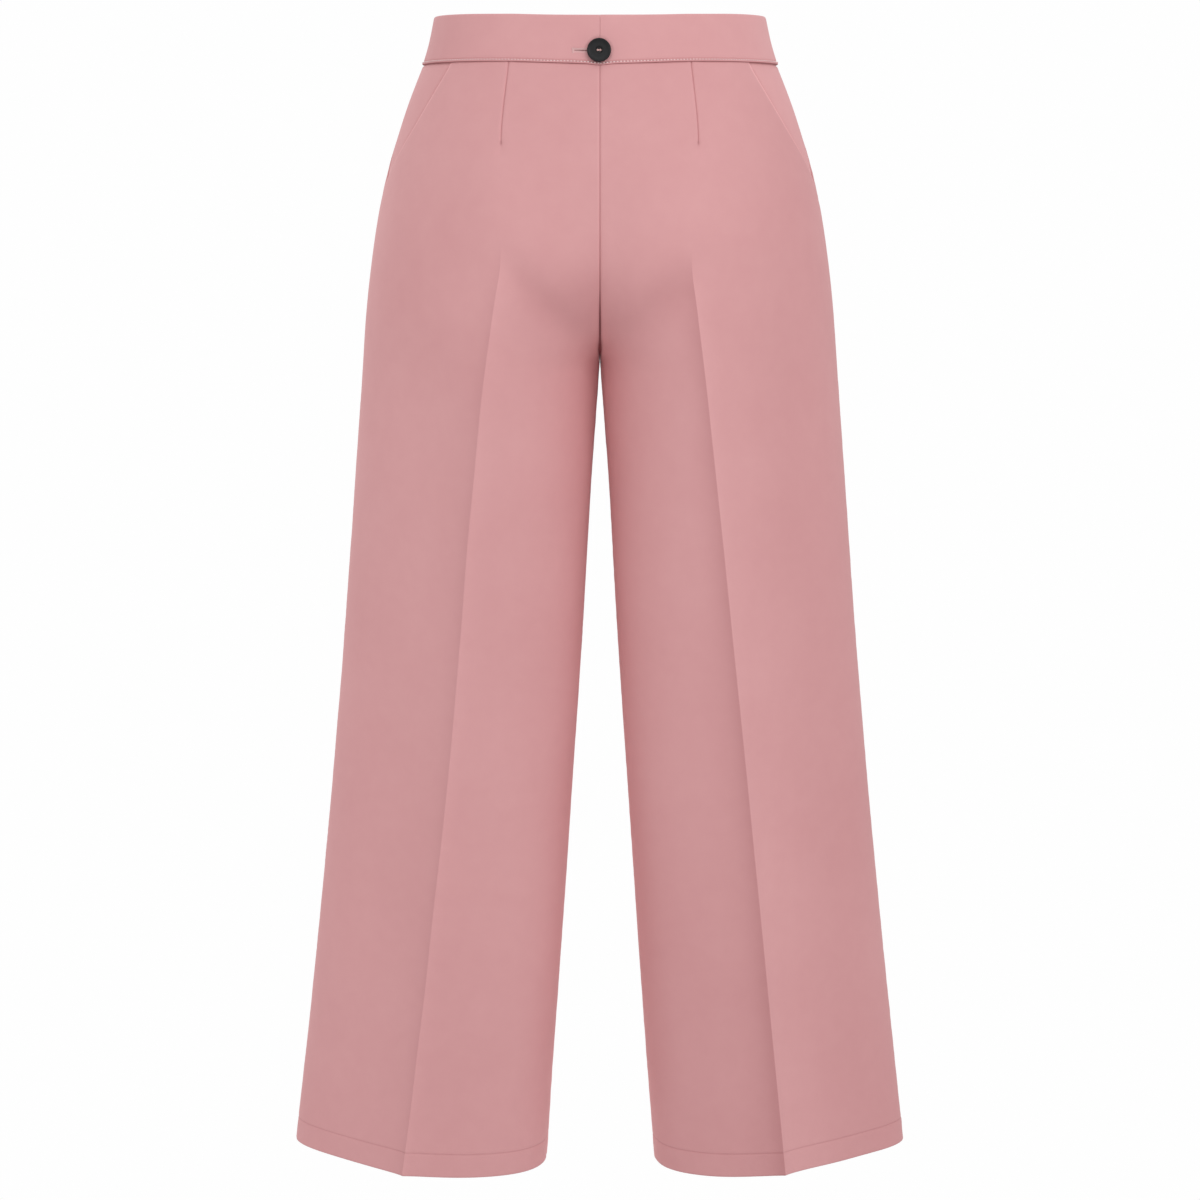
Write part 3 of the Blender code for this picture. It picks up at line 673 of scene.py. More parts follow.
# soft shading of the hips: (amount, x, z, half width, half height)
hipTones = {
    leftSide: [(-0.030, -0.118, -0.158, 0.026, 0.040), (0.022, -0.075, -0.150, 0.022, 0.040)],
    rightSide: [(0.018, 0.070, -0.150, 0.030, 0.050)],
}


def sidePaintedShading(side, fromCrease):
    return ease((fromCrease - 0.015) / 0.080) * sideTones[side]


# the painted light and shade of a back
def backPaintedShading(side, points, down, fromCrease, fromSeam, fromOuter):
    amount = {what: pair[side == rightSide] for what, pair in backTones.items()}
    across = fromCrease * side
    pressed = ease((down - amount["creaseStart"]) / 0.04)
    before = np.exp(np.minimum(across, 0) / amount["creaseReach"]) * (across < 0)
    after = np.exp(-np.maximum(across, 0) / 0.008) * (across >= 0)
    tone = pressed * (before * amount["beforeCrease"] + after * amount["afterCrease"])
    # painted shade on the inner half of the leg, and on all of it near the hem
    inner = 1 - ease(fromCrease / 0.012)
    tone += amount["innerLeg"] * inner * ease((down - 0.30) / 0.45)
    inner = 1 - ease(fromCrease / 0.012 + 0.5)
    tone += (amount["lowerLeg"] + amount["lowerInnerLeg"] * inner) * ease((down - 0.65) / 0.35)
    # painted shade under the seat and beside the fork, and painted light along the inseam
    x, z = np.abs(points[..., 0]), points[..., 2]
    belowSeat = hump((z + 0.245 + 0.62 * (0.045 - x)) * 0.85, 0.020)
    tone += amount["underSeat"] * belowSeat * ease(x / 0.01) * ease((0.088 - x) / 0.03)
    tone += amount["besideFork"] * hump(x, 0.045) * hump(z + 0.237, 0.028)
    inside = np.maximum(fromSeam, 0)
    edge, wide = np.exp(-inside / 0.005), np.exp(-inside / 0.025)
    tone += ease((down - 0.283) / 0.03) * (amount["inseamEdge"] * edge + amount["inseamSide"] * wide)
    tone += 0.26 * np.exp(-inside / 0.011) * hump(down - 0.318, 0.032)
    tone += 0.09 * np.exp(-inside / 0.030) * hump(down - 0.306, 0.022)
    # the seat seam opens towards the fork: painted shade inside it and at the fork, and a painted highlight
    # along its edge
    seat = 1 - ease((down - 0.290) / 0.01)
    opening = ease((down - 0.225) / 0.05)
    tone -= seat * (0.26 + 0.56 * opening) * hump(fromSeam, 0.0006 + 0.0012 * opening)
    tone -= 1.20 * hump(fromSeam, 0.0042) * hump(down - 0.299, 0.014)
    tone += amount["seatSeamEdge"] * seat * hump(fromSeam - 0.0015, 0.0004)
    # a painted highlight along the side seam, and painted shade at the end of the right pocket
    tone += amount["sideSeam"] * hump(fromOuter, 0.0015) * (1 - ease((down - 0.14) / 0.03))
    tone += amount["pocketEnd"] * hump(fromOuter, 0.0008) * hump(down - 0.128, 0.017)
    # painted shade in the dart and at its tip, with a faint painted highlight beside it
    inDart = 1 - ease((down - trouserForm["dartEnd"] + 0.003) / 0.004)
    tone -= 0.10 * hump(fromCrease, 0.0005) * inDart
    tone += 0.02 * hump(across + 0.0014, 0.0005) * inDart
    tone -= 0.30 * hump(fromCrease, 0.0011) * hump(down - trouserForm["dartEnd"], 0.0018)
    for share, atX, atZ, wide, tall in hipTones[side]:
        tone += share * hump(points[..., 0] - atX, wide) * hump(z - atZ, tall)
    return tone + sidePaintedShading(side, fromCrease)


def frontPaintedShading(side, down, fromCrease, fromSeam):
    # painted light and shade on a front: a highlight and shade beside the crease, light along the inseam,
    # shade in the seam
    pressed = ease((down - 0.22) / 0.08)
    tone = 0.04 * pressed * (hump(fromCrease - 0.0020, 0.0030) - 1.4 * hump(fromCrease + 0.0030, 0.0045))
    inside = np.maximum(fromSeam, 0)
    tone += 0.20 * ease((down - 0.283) / 0.03) * np.exp(-inside / 0.012)
    tone -= 0.22 * hump(fromSeam, 0.0006) * (1 - ease((down - 0.290) / 0.01))
    return tone + sidePaintedShading(side, fromCrease)


def panelRows():
    # depth of each line of points and how far it is folded in, from behind the band to the turned-up hem
    length, radius = trouserForm["length"], panelCut["hemFoldRadius"]
    rows = [(0.0365, 0.0013), (0.0384, 0.0012), (0.0395, 0.0010), (0.0402, 0.0007), (0.0410, 0.0003)]
    for start, end, step in (
        (0.0422, 0.100, panelCut["rowStep"]),
        (0.1010, 0.118, 0.0012),
        (0.1200, length - 0.034, panelCut["rowStep"]),
    ):
        rows += [(depth, 0.0) for depth in np.arange(start, end, step)]
    nearHem = (0.0320, 0.0290, 0.0265, 0.0246, 0.0234, 0.0226, 0.0219, 0.0212, 0.0205, 0.0197, 0.0186)
    nearHem += (0.0170, 0.0145, 0.0115, 0.0085, 0.0058, 0.0036, 0.0020, 0.0012)
    rows += [(length - up, 0.0) for up in nearHem]
    for angle in np.radians(np.linspace(0, 180, 8)):
        rows.append((length - radius + radius * math.sin(angle), radius * (1 - math.cos(angle))))
    turnedUp = (0.002, 0.006, 0.011, 0.016, 0.020, panelCut["hemTurnUp"])
    rows += [(length - up, 2 * radius) for up in turnedUp]
    return np.array(rows).T


def panelColumns():
    # from the seam allowance, pressed back inside, round its fold and on into the panel
    radius = panelCut["foldRadius"]
    layers = [("near", back, 2 * radius) for back in allowanceMarks]
    for angle in foldAngles:
        layers.append(("near", radius - radius * math.sin(angle), radius * (1 - math.cos(angle))))
    return layers + [("near", mark, 0.0) for mark in edgeMarks]


def panelRelief(side, isBack, points, down, fromCrease, fromInner, fromOuter):
    # how far the sewn and pressed cloth stands out from the plain form
    up = trouserForm["length"] - down
    flat = down * 0
    height = np.zeros(fromCrease.shape)

    # seams sink into the cloth and pucker slightly beside the stitching
    pucker = uneven(11 + side + isBack, down, flat, 5, 0.006, 0.022)
    slow = uneven(31 + side + isBack, down, flat, 4, 0.05, 0.16)
    for distance, dip in ((fromInner, 1.0), (fromOuter, 0.3)):
        height -= panelCut["seamDip"] * dip * hump(distance, 0.0016)
        height += 0.00009 * (pucker + 0.8 * slow) * hump(distance - 0.0045, 0.0042)
        height += 0.00012 * hump(distance - 0.0085, 0.0030)

    # the dart, and a little ease beside it
    if isBack:
        inDart = 1 - ease((down - trouserForm["dartEnd"] + 0.006) / 0.007)
        height -= panelCut["dartGroove"] * hump(fromCrease, 0.00055) * inDart
        height += 0.00022 * hump(np.abs(fromCrease) - 0.0030, 0.0026) * inDart
    # the pressed crease is pinched up out of the cloth, and slightly uneven where it is set
    pressed = ease((down - 0.185) / (0.09 if isBack else 0.13))
    pinch = panelCut["creaseHeight"] * np.exp(-np.abs(fromCrease) / panelCut["creaseWidth"])
    height += pinch * pressed
    height += 0.00030 * pressed * uneven(5 + side, down, flat, 3, 0.12, 0.30) * hump(fromCrease, 0.010)

    # hem: a sunk row of stitches, puckers under it, and a slow wave along the edge
    height -= panelCut["hemGroove"] * hump(up - panelCut["hemStitchUp"], 0.0010)
    height += 0.00020 * uneven(41 + side, fromCrease, up * 0.4, 6, 0.006, 0.020) * hump(up - 0.015, 0.0065)
    hemWave = uneven(43 + side + isBack, fromCrease, up * 0.3, 4, 0.07, 0.16)
    height += 0.0006 * hemWave * ease(1 - up / 0.14)

    # the cloth hangs slightly unevenly all over, most on the legs
    free = ease((down - 0.06) / 0.22) * ease(fromInner / 0.02) * ease(fromOuter / 0.02)
    wander = uneven(3 + 2 * side + isBack, points[..., 0] * 1.6, points[..., 2], 7, 0.09, 0.26)
    height += 0.00070 * free * wander
    height += foldHeight(points, backFolds if isBack else frontFolds) * ease(fromInner / 0.004)
    if isBack:
        height -= panelCut["seatSeamDip"] * hump(fromInner, 0.0010) * (1 - ease((down - 0.29) / 0.01))
    return height


def makePanel(name, node, side, isBack):
    depth, rowInset = panelRows()
    edge = panelColumns()
    between = [("between", k / (panelCut["between"] + 1), 0.0) for k in range(1, panelCut["between"] + 1)]
    inner = edge + between + [("far", mark, 0.0) for mark in reversed(creaseMarks)]
    outer = [("near", mark, 0.0) for mark in creaseMarks[1:]] + between
    outer += [("far", value, inset) for _, value, inset in reversed(edge)]
    ones = np.ones(len(depth))
    if isBack:
        first, crease, last = ones * 0.0, ones * 1.0, seamTurns(side, depth)
    else:
        first, crease, last = ones * 4.0, ones * 3.0, mouthTurns(side, depth)
    innerTurns = turnsAt(side, depth, first, crease, [(kind, value) for kind, value, _ in inner])
    outerTurns = turnsAt(side, depth, crease, last, [(kind, value) for kind, value, _ in outer])
    turns = np.concatenate([innerTurns, outerTurns], 1)
    points, normals = formAt(side, depth, turns), normalsAt(side, depth, turns)

    # distances of every point along the cloth from the crease and from the two seams
    run = runAlong(points)
    fromCrease = run - run[:, len(inner) - 1:len(inner)]
    folded = len(edge) - len(edgeMarks)
    fromSeam = run - run[:, folded:folded + 1] + edgeMarks[0]
    far = 1.0
    fromInner = np.array([value if kind == "near" else far for kind, value, _ in inner] + [far] * len(outer))
    fromOuter = np.array([far] * len(inner) + [value if kind == "far" else far for kind, value, _ in outer])
    down = depth[:, None]
    up = trouserForm["length"] - down
    height = panelRelief(side, isBack, points, down, fromCrease, fromInner, fromOuter)
    if isBack:
        tone = backPaintedShading(side, points, down, fromCrease, fromSeam, fromOuter)
    else:
        tone = frontPaintedShading(side, down, fromCrease, fromSeam)
    # painted shade along the sunk row of hem stitches and at the hem's folded edge
    tone = tone - 0.14 * hump(up - panelCut["hemStitchUp"], 0.0006) - 0.09 * hump(up, 0.0009)
    inset = rowInset[:, None] + np.array([inset for _, _, inset in inner + outer])
    surface = points + normals * (height - inset)[..., None]
    cloth = clothMap(fromCrease + 0.4 * side + isBack, down)
    mesh = clothMesh(name, surface, cloth, normals[len(depth) // 2, len(inner) // 2], tone)
    piece = addPiece(name, mesh, suiting, [node])
    thicken(piece, panelCut["thickness"])

    # the stitches that hold the hem up, sunk in their row
    row = nearestTo(up[:, 0], panelCut["hemStitchUp"])
    seen = slice(folded, -folded)
    return walkLine(surface[row, seen], normals[row, seen], panelCut["hemStitchPitch"], 0.0012)


def sewLine(name, places, stitch, thread):
    # one row of stitches, each laid out along the row
    above, length, width, height = stitch
    sewing = [(place + out * above, along, out, length, width, height) for place, along, out in places]
    addPiece(name, stitchMesh(name, sewing), thread, ())
    print(name, len(sewing))


hemPlaces = []
for side, word in ((leftSide, "Left"), (rightSide, "Right")):
    for isBack, face in ((True, "back"), (False, "front")):
        hemPlaces += makePanel(f"{face}{word}Panel", f"{face}_{word.lower()}", side, isBack)
        print(face, word.lower(), "panel sewn")

sewLine("hemStitches", hemPlaces, panelCut["hemStitch"], threads["hem"])

# Waistband

band = {
    "proud": 0.0008,
    "wall": 0.0030,
    "underlap": 0.034,
    "underlapGap": 0.0003,
    "columnStep": 0.0032,
    "fineReach": 0.030,
    "fineStep": 0.0010,
    "stitchDepth": 0.0387,
    "stitchPitch": 0.0029,
    # place above the cloth, length, width and height of one stitch
    "stitch": (0.00026, 0.0017, 0.00090, 0.00066),
    "endRound": 0.00030,
    "midFace": 20,
    "flat": (0.93, 0.041),
}
buttonSize = {
    "x": -0.0008,
    "depth": 0.0296,
    "radius": 0.0102,
    "thickness": 0.0032,
    "standOff": 0.0014,
    "holeRadius": 0.00095,
    "holeOffset": 0.0013,
    "eyeRadius": 0.0030,
}
buttonhole = {
    "outerX": -0.0235,
    "innerX": -0.0022,
    "halfHeight": 0.0024,
    "pitch": 0.00042,
    # the slit: how far inside the outer end it starts, its half height there and at the button, its depth
    "slitStart": 0.0022,
    "slitHalfHeights": (0.00006, 0.00050),
    "slitDepth": 0.0052,
}


def onBack(xs, depths, out=0.0):
    # rows of points of the back at these x, moved out from the cloth, and the way that it faces there
    xs, depths = np.asarray(xs), np.asarray(depths)
    share = np.broadcast_to(np.linspace(0.0, 1.0, 200), (len(depths), 200))
    points = np.zeros((len(depths), len(xs), 3))
    normals = np.zeros(points.shape)
    for side in (leftSide, rightSide):
        mine = xs * side > 0
        reached = np.abs(formAt(side, depths, share)[..., 0])
        turns = np.array([np.interp(np.abs(xs[mine]), line, share[0]) for line in reached])
        normals[:, mine] = normalsAt(side, depths, turns)
        points[:, mine] = formAt(side, depths, turns)
    points[..., 0] = xs
    return points + normals * out, normals


buttonSeat, buttonFacing = onBack([buttonSize["x"]], [buttonSize["depth"]], band["proud"])
buttonSeat, buttonFacing = buttonSeat[0, 0], buttonFacing[0, 0]
buttonFacing = np.array([0.0, buttonFacing[1], buttonFacing[2]])
buttonFacing = buttonFacing / np.linalg.norm(buttonFacing)
buttonSeat = buttonSeat + buttonFacing * buttonSize["standOff"]


def bandProfile():
    # once round the band's section, as (depth, out): rolled lower edge, face, top fold, inside
    proud, wall = band["proud"], band["wall"]
    half = wall / 2
    lip = [(0.0404, -0.0009), (0.0404, -0.0002), (0.0402, 0.00035), (0.0398, 0.00060), (0.0393, 0.00066)]
    lip += [(0.0387, 0.00052), (0.0382, 0.00016), (0.0379, -0.00028), (0.0376, -0.00030), (0.0372, -0.00006)]
    lip += [(0.0366, 0.00010)]
    profile = [(depth, proud + out) for depth, out in lip]
    profile += [(depth, proud + 0.00012) for depth in np.linspace(0.0354, 0.0030, 30)]
    for angle in np.radians(np.linspace(0, 180, 11)):
        profile.append((half * (1 - math.sin(angle)), proud - half + half * math.cos(angle)))
    profile += [(depth, proud - wall) for depth in np.linspace(0.0040, 0.0380, 11)]
    profile += [(0.0394, proud - wall), (0.0401, proud - wall + 0.0005), (0.0404, proud - half - 0.0003)]
    return np.array(profile)


def sweepBand(profile, columns, squeeze, behind=0.0):
    # the section carried along columns of (side, turn), and drawn in where squeeze is above nothing
    middleDepth, middleOut = 0.0206, band["proud"] - band["wall"] / 2
    depth = profile[:, 0]
    sides = np.array([side for side, _ in columns])
    turns = np.broadcast_to([turn for _, turn in columns], (len(depth), len(columns)))
    pick = (sides == leftSide)[None, :, None]
    points = np.where(pick, formAt(leftSide, depth, turns), formAt(rightSide, depth, turns))
    normals = np.where(pick, normalsAt(leftSide, depth, turns), normalsAt(rightSide, depth, turns))
    out = middleOut + (profile[:, 1:] - middleOut) * (1 - squeeze / (band["wall"] / 2))
    shift = np.clip((middleDepth - profile[:, :1]) * 400, -1, 1) * squeeze
    points = points + normals * (out - behind)[..., None]
    points[..., 2] -= shift
    return points, normals


def bandMesh(name, points, cloth, tone=None):
    mesh = clothMesh(name, points, cloth, (0, 0, 0), tone)
    shell = bmesh.new()
    shell.from_mesh(mesh)
    bmesh.ops.remove_doubles(shell, verts=shell.verts, dist=0.000001)
    openEdges = [edge for edge in shell.edges if edge.is_boundary]
    bmesh.ops.holes_fill(shell, edges=openEdges, sides=0)
    bmesh.ops.recalc_face_normals(shell, faces=shell.faces)
    shell.to_mesh(mesh)
    shell.free()
    mesh.shade_smooth()
    return mesh


def bandColumns(start, end):
    # columns from the band's left end, round the front to its right end, as (side, turn), and how much
    # each is drawn in to round off an end
    ends = (0.0, 0.00003, 0.00009, 0.00018, 0.00030, 0.0006)
    fine = np.arange(band["fineStep"], band["fineReach"], band["fineStep"])
    row = np.array([buttonSize["depth"]])
    columns, squeeze = [], []
    for side in (leftSide, rightSide):
        length = distancesAlong(side, row, start, end)[1][0, -1]
        count = int((length - band["fineReach"]) / band["columnStep"])
        marks = [("near", mark) for mark in (*ends, *fine)]
        marks += [("between", k / count) for k in range(1, count + 1)]
        turns = turnsAt(side, row, start, end, marks)[0]
        drawn = [band["endRound"] * (1 - math.sqrt(min(1, mark / band["endRound"]))) for mark in ends]
        drawn += [0.0] * (len(turns) - len(ends))
        half = list(zip([side] * len(turns), turns))
        columns += half if side == leftSide else half[::-1][1:]
        squeeze += drawn if side == leftSide else drawn[::-1][1:]
    return columns, np.array(squeeze)[None, :]


def outerFace(profile):
    return profile[:, 1] > band["proud"] - 0.0006


def shapeBand(profile, points, normals, run):
    # what the button, the stitching and wear do to the outer face
    depth = profile[:, :1]
    atBack = points[..., 1] < 0
    fromButton = np.hypot(points[..., 0] - buttonSeat[0], points[..., 2] - buttonSeat[2])
    height = -0.0007 * hump(fromButton, 0.0085) * atBack
    height += 0.00030 * hump(fromButton - 0.0123, 0.0016) * atBack
    height += 0.00022 * uneven(71, run[None, :], depth * 0.6, 5, 0.035, 0.12)
    height += 0.00006 * uneven(73, run[None, :], depth * 0, 5, 0.005, 0.016) * hump(depth - 0.0365, 0.0022)
    points = points + normals * (height * outerFace(profile)[:, None])[..., None]
    # the lower edge dips in a shallow V at the centre back, and the top edge rises and wanders a little
    dip = 0.0013 * hump(points[..., 0], 0.010) * atBack * ease((depth - 0.022) / 0.017)
    wander = 0.00012 * uneven(79, run[None, :], depth * 0, 4, 0.08, 0.20) * ease(1 - depth / 0.02)
    across = np.abs(points[..., 0])
    crown = 0.0013 * ease((across - 0.085) / 0.055) + 0.0008 * hump(across, 0.035)
    points[..., 2] += wander + crown * ease(1 - depth / 0.024) - dip
    return points


def bandPaintedShading(loop, points):
    # painted light and shade, as on the backs: a painted highlight on the rolled edge, painted shade in the
    # stitched groove and under the edge, and painted shade towards the left end of the back
    rolled = loop[:, 0]
    tone = outerFace(loop) * (0.05 * hump(rolled - 0.0398, 0.0004) - 0.26 * hump(rolled - 0.0386, 0.0007))
    tone -= 0.44 * (rolled > 0.0400)
    nearLeft = 0.07 * ease((-points[..., 0] - 0.105) / 0.06) * (points[..., 1] < 0)
    return tone[:, None] - nearLeft


def underlapMesh(profile, around, start):
    # the band's right end, which runs on behind the left end
    row = np.array([0.02])
    lapMarks = [0.0, 0.00004, 0.0002, 0.0006] + list(np.linspace(0.0015, band["underlap"] - 0.0015, 22))
    lapMarks += [band["underlap"] - gap for gap in (0.0006, 0.0002, 0.00004, 0.0)]
    columns = []
    for side, marks in ((rightSide, (0.006, 0.0057, 0.004)), (leftSide, lapMarks)):
        near = [("near", mark) for mark in marks]
        columns += [(side, turn) for turn in turnsAt(side, row, start, np.ones(1), near)[0]]
    squeeze = np.zeros(len(columns))
    squeeze[:2] = (0.0005, 0.0001)
    squeeze[-3:] = (0.00008, 0.0002, 0.0005)
    points, _ = sweepBand(profile, columns, squeeze[None, :], band["wall"] + band["underlapGap"])
    cloth = clothMap(runAlong(points[band["midFace"]])[None, :] + 4.2, around[:, None])
    return bandMesh("underlap", np.concatenate([points, points[:1]]), cloth)


def makeWaistband():
    profile = bandProfile()
    start, end = np.zeros(1), np.ones(1) * 4.0
    points, normals = sweepBand(profile, *bandColumns(start, end))
    run = runAlong(points[band["midFace"]])
    points = shapeBand(profile, points, normals, run)
    closed, loop = (np.concatenate([rows, rows[:1]]) for rows in (points, profile))
    around = runAlong(loop)
    cloth = clothMap(run[None, :] + 3.0, around[:, None])
    mesh = bandMesh("foldedWaistband", closed, cloth, bandPaintedShading(loop, closed))
    lap = underlapMesh(profile, around, start)
    both = bmesh.new()
    both.from_mesh(mesh)
    both.from_mesh(lap)
    both.to_mesh(mesh)
    both.free()
    bpy.data.meshes.remove(lap)
    mesh.shade_smooth()
    piece = addPiece("foldedWaistband", mesh, bandSuiting, ["waistband"])
    lip = nearestTo(profile[:9, 0], band["stitchDepth"])
    face = nearestTo(profile[11:40, 0], buttonSize["depth"]) + 11
    return piece, points[lip], normals[lip], points[face]


waistbandPiece, lipLine, lipNormals, faceLine = makeWaistband()
lipPlaces = walkLine(lipLine, lipNormals, band["stitchPitch"], 0.0016)
print("waistband made")
sewLine("waistbandStitches", lipPlaces, band["stitch"], threads["band"])

# Buttonhole: a slit that is narrow at its outer end, satin stitch round it and a bar tack


def bandFaceAt(x):
    # where the worked face of the band lies at this x, level with the button
    order = np.argsort(faceLine[:, 0])
    back = [k for k in order if faceLine[k, 1] < 0]
    y = np.interp(x, faceLine[back, 0], faceLine[back, 1])
    return np.array([x, y, buttonSeat[2]])


def makeButtonhole():
    outer, inner = buttonhole["outerX"], buttonhole["innerX"]
    narrow, wide = buttonhole["slitHalfHeights"]
    wedge = bmesh.new()
    bmesh.ops.create_cube(wedge, size=1.0)
    middle = bandFaceAt((outer + inner) / 2)
    for corner in wedge.verts:
        atInner = corner.co.x > 0
        halfHeight = wide if atInner else narrow
        corner.co = Vector((
            inner if atInner else outer + buttonhole["slitStart"],
            middle[1] + corner.co.y * buttonhole["slitDepth"],
            middle[2] + corner.co.z * 2 * halfHeight,
        ))
    cutWith(waistbandPiece, wedge)

    chooser = np.random.default_rng(7)
    sewing = []
    out = onBack([(outer + inner) / 2], [buttonSize["depth"]])[1][0, 0]
    for x in np.arange(outer + 0.0018, inner, buttonhole["pitch"]):
        slit = narrow + (wide - narrow) * (x - outer) / (inner - outer)
        for way in (-1, 1):
            reach = buttonhole["halfHeight"] + chooser.uniform(-0.00012, 0.00012)
            place = bandFaceAt(x) + np.array([0, 0, way * (slit + reach) / 2])
            lean = (chooser.uniform(-0.12, 0.12), 0.0, 1.0)
            sewing.append((place + out * 0.00010, lean, out, reach - slit, 0.00046, 0.00040))
    # the bar tack: long stitches up its height, and short ones over them
    for k in range(5):
        place = bandFaceAt(outer + 0.00035 * k) + out * (0.00016 + 0.00010 * (k % 2))
        tall = 0.0057 - 0.0003 * (k % 2)
        sewing.append((place, (0.03 * (k - 2), 0.0, 1.0), out, tall, 0.00050, 0.00046))
    for z in np.arange(-0.0024, 0.0025, 0.0007):
        place = bandFaceAt(outer + 0.0007) + np.array([0, 0, z]) + out * 0.00036
        sewing.append((place, (1.0, 0.0, 0.12), out, 0.0019, 0.00038, 0.00034))
    mesh = stitchMesh("buttonholeStitches", sewing)
    addPiece("buttonholeStitches", mesh, threads["buttonhole"], ())


makeButtonhole()
print("buttonhole worked")

# Button

buttonTurning = {
    # distance inside the edge, height from the back
    "back": [(0.0022, 0.0), (0.0012, 0.0003), (0.0004, 0.0009), (0.00008, 0.0015), (0.0, 0.0019)],
    # distance inside the edge, depth under the top
    "rim": [
        (0.00006, 0.0008), (0.0003, 0.0003), (0.0007, 0.00006), (0.0010, 0.0),
        (0.0014, 0.00012), (0.0018, 0.00045), (0.0022, 0.0006),
    ],
    # distance inside the eye's edge, depth under the top
    "dish": [
        (-0.0030, 0.00070), (-0.0015, 0.00074), (-0.0006, 0.00072), (-0.0002, 0.00078),
        (0.0, 0.0010), (0.00025, 0.0014), (0.0007, 0.0016),
    ],
    "eyeDepth": 0.00165,
}


def spun(name, profile, steps):
    turned = bmesh.new()
    corners = [turned.verts.new((r, 0.0, z)) for r, z in profile]
    edges = [turned.edges.new(pair) for pair in zip(corners, corners[1:])]
    around = {"cent": (0, 0, 0), "axis": (0, 0, 1), "angle": 2 * math.pi}
    bmesh.ops.spin(turned, geom=corners + edges, steps=steps, use_merge=True, **around)
    bmesh.ops.remove_doubles(turned, verts=turned.verts, dist=0.00001)
    bmesh.ops.recalc_face_normals(turned, faces=turned.faces)
    return keepMesh(name, turned)


def makeButton():
    radius, top, eye = buttonSize["radius"], buttonSize["thickness"], buttonSize["eyeRadius"]
    profile = [(0.0, 0.0)]
    profile += [(radius - inset, height) for inset, height in buttonTurning["back"]]
    profile += [(radius - inset, top - sunk) for inset, sunk in buttonTurning["rim"]]
    profile += [(eye - inset, top - sunk) for inset, sunk in buttonTurning["dish"]]
    profile.append((0.0, top - buttonTurning["eyeDepth"]))
    mesh = spun("sewnButton", profile, 96)
    facing = Vector(buttonFacing).to_track_quat("Z", "Y").to_matrix().to_4x4()
    mesh.transform(Matrix.Translation(Vector(buttonSeat)) @ facing)
    piece = addPiece("sewnButton", mesh, blackPlastic, ["button"])
    size = buttonSize["holeRadius"]
    drill = {"segments": 28, "radius1": size, "radius2": size, "depth": 0.02}
    for way in (-1, 1):
        hole = bmesh.new()
        at = Matrix.Translation(Vector(buttonSeat) + Vector((way * buttonSize["holeOffset"], 0, 0)))
        bmesh.ops.create_cone(hole, cap_ends=True, matrix=at @ facing, **drill)
        cutWith(piece, hole)
    piece.data.shade_smooth()
    piece.data.set_sharp_from_angle(angle=math.radians(42))


def makeButtonThread():
    # strands up out of each hole, three low ones across between them, and the wound shank behind
    facing, seat = buttonFacing, buttonSeat
    floor = buttonSize["thickness"] - buttonTurning["eyeDepth"]
    aside = np.cross(facing, (1.0, 0.0, 0.0))
    sewing = []
    for way in (-1, 1):
        for k in range(7):
            angle = 2 * math.pi * k / 6
            spread = 0.00052 if k < 6 else 0.0
            x = way * buttonSize["holeOffset"] + spread * math.cos(angle)
            place = seat + np.array([x, 0, 0]) + aside * spread * math.sin(angle) * 1.3
            place = place + facing * (floor + 0.0001)
            lean = facing + np.array([-way * 0.35 - 0.1 * math.cos(angle), 0, 0])
            sewing.append((place, lean, (1.0, 0.0, 0.0), 0.0019, 0.00062, 0.00062))
    for k in range(-1, 2):
        place = seat + facing * (floor + 0.00005) + aside * 0.0004 * k
        sewing.append((place, (1.0, 0.0, 0.05 * k), facing, 0.0026, 0.00034, 0.00034))
    for k in range(5):
        place = seat - facing * (0.0002 + 0.00028 * k)
        for turn in range(8):
            angle = 2 * math.pi * (turn + 0.5 * (k % 2)) / 8
            ring = np.array([math.cos(angle), 0, 0]) + aside * math.sin(angle)
            sewing.append((place + ring * 0.0016, np.cross(facing, ring), ring, 0.0015, 0.00034, 0.00034))
    mesh = stitchMesh("buttonThread", sewing)
    addPiece("buttonThread", mesh, threads["button"], ["button_thread"])


makeButton()
makeButtonThread()
print("button sewn on")

# Pockets: the facing that shows in the mouth, cut in one with the bag behind the front

pocketCut = {
    "behind": 0.0030,
    "settle": 0.010,
    "facingColumns": 22,
    "bagColumns": 26,
    "thickness": 0.0005,
    "flat": (0.15, 0.235),
    "area": 0.026,
}


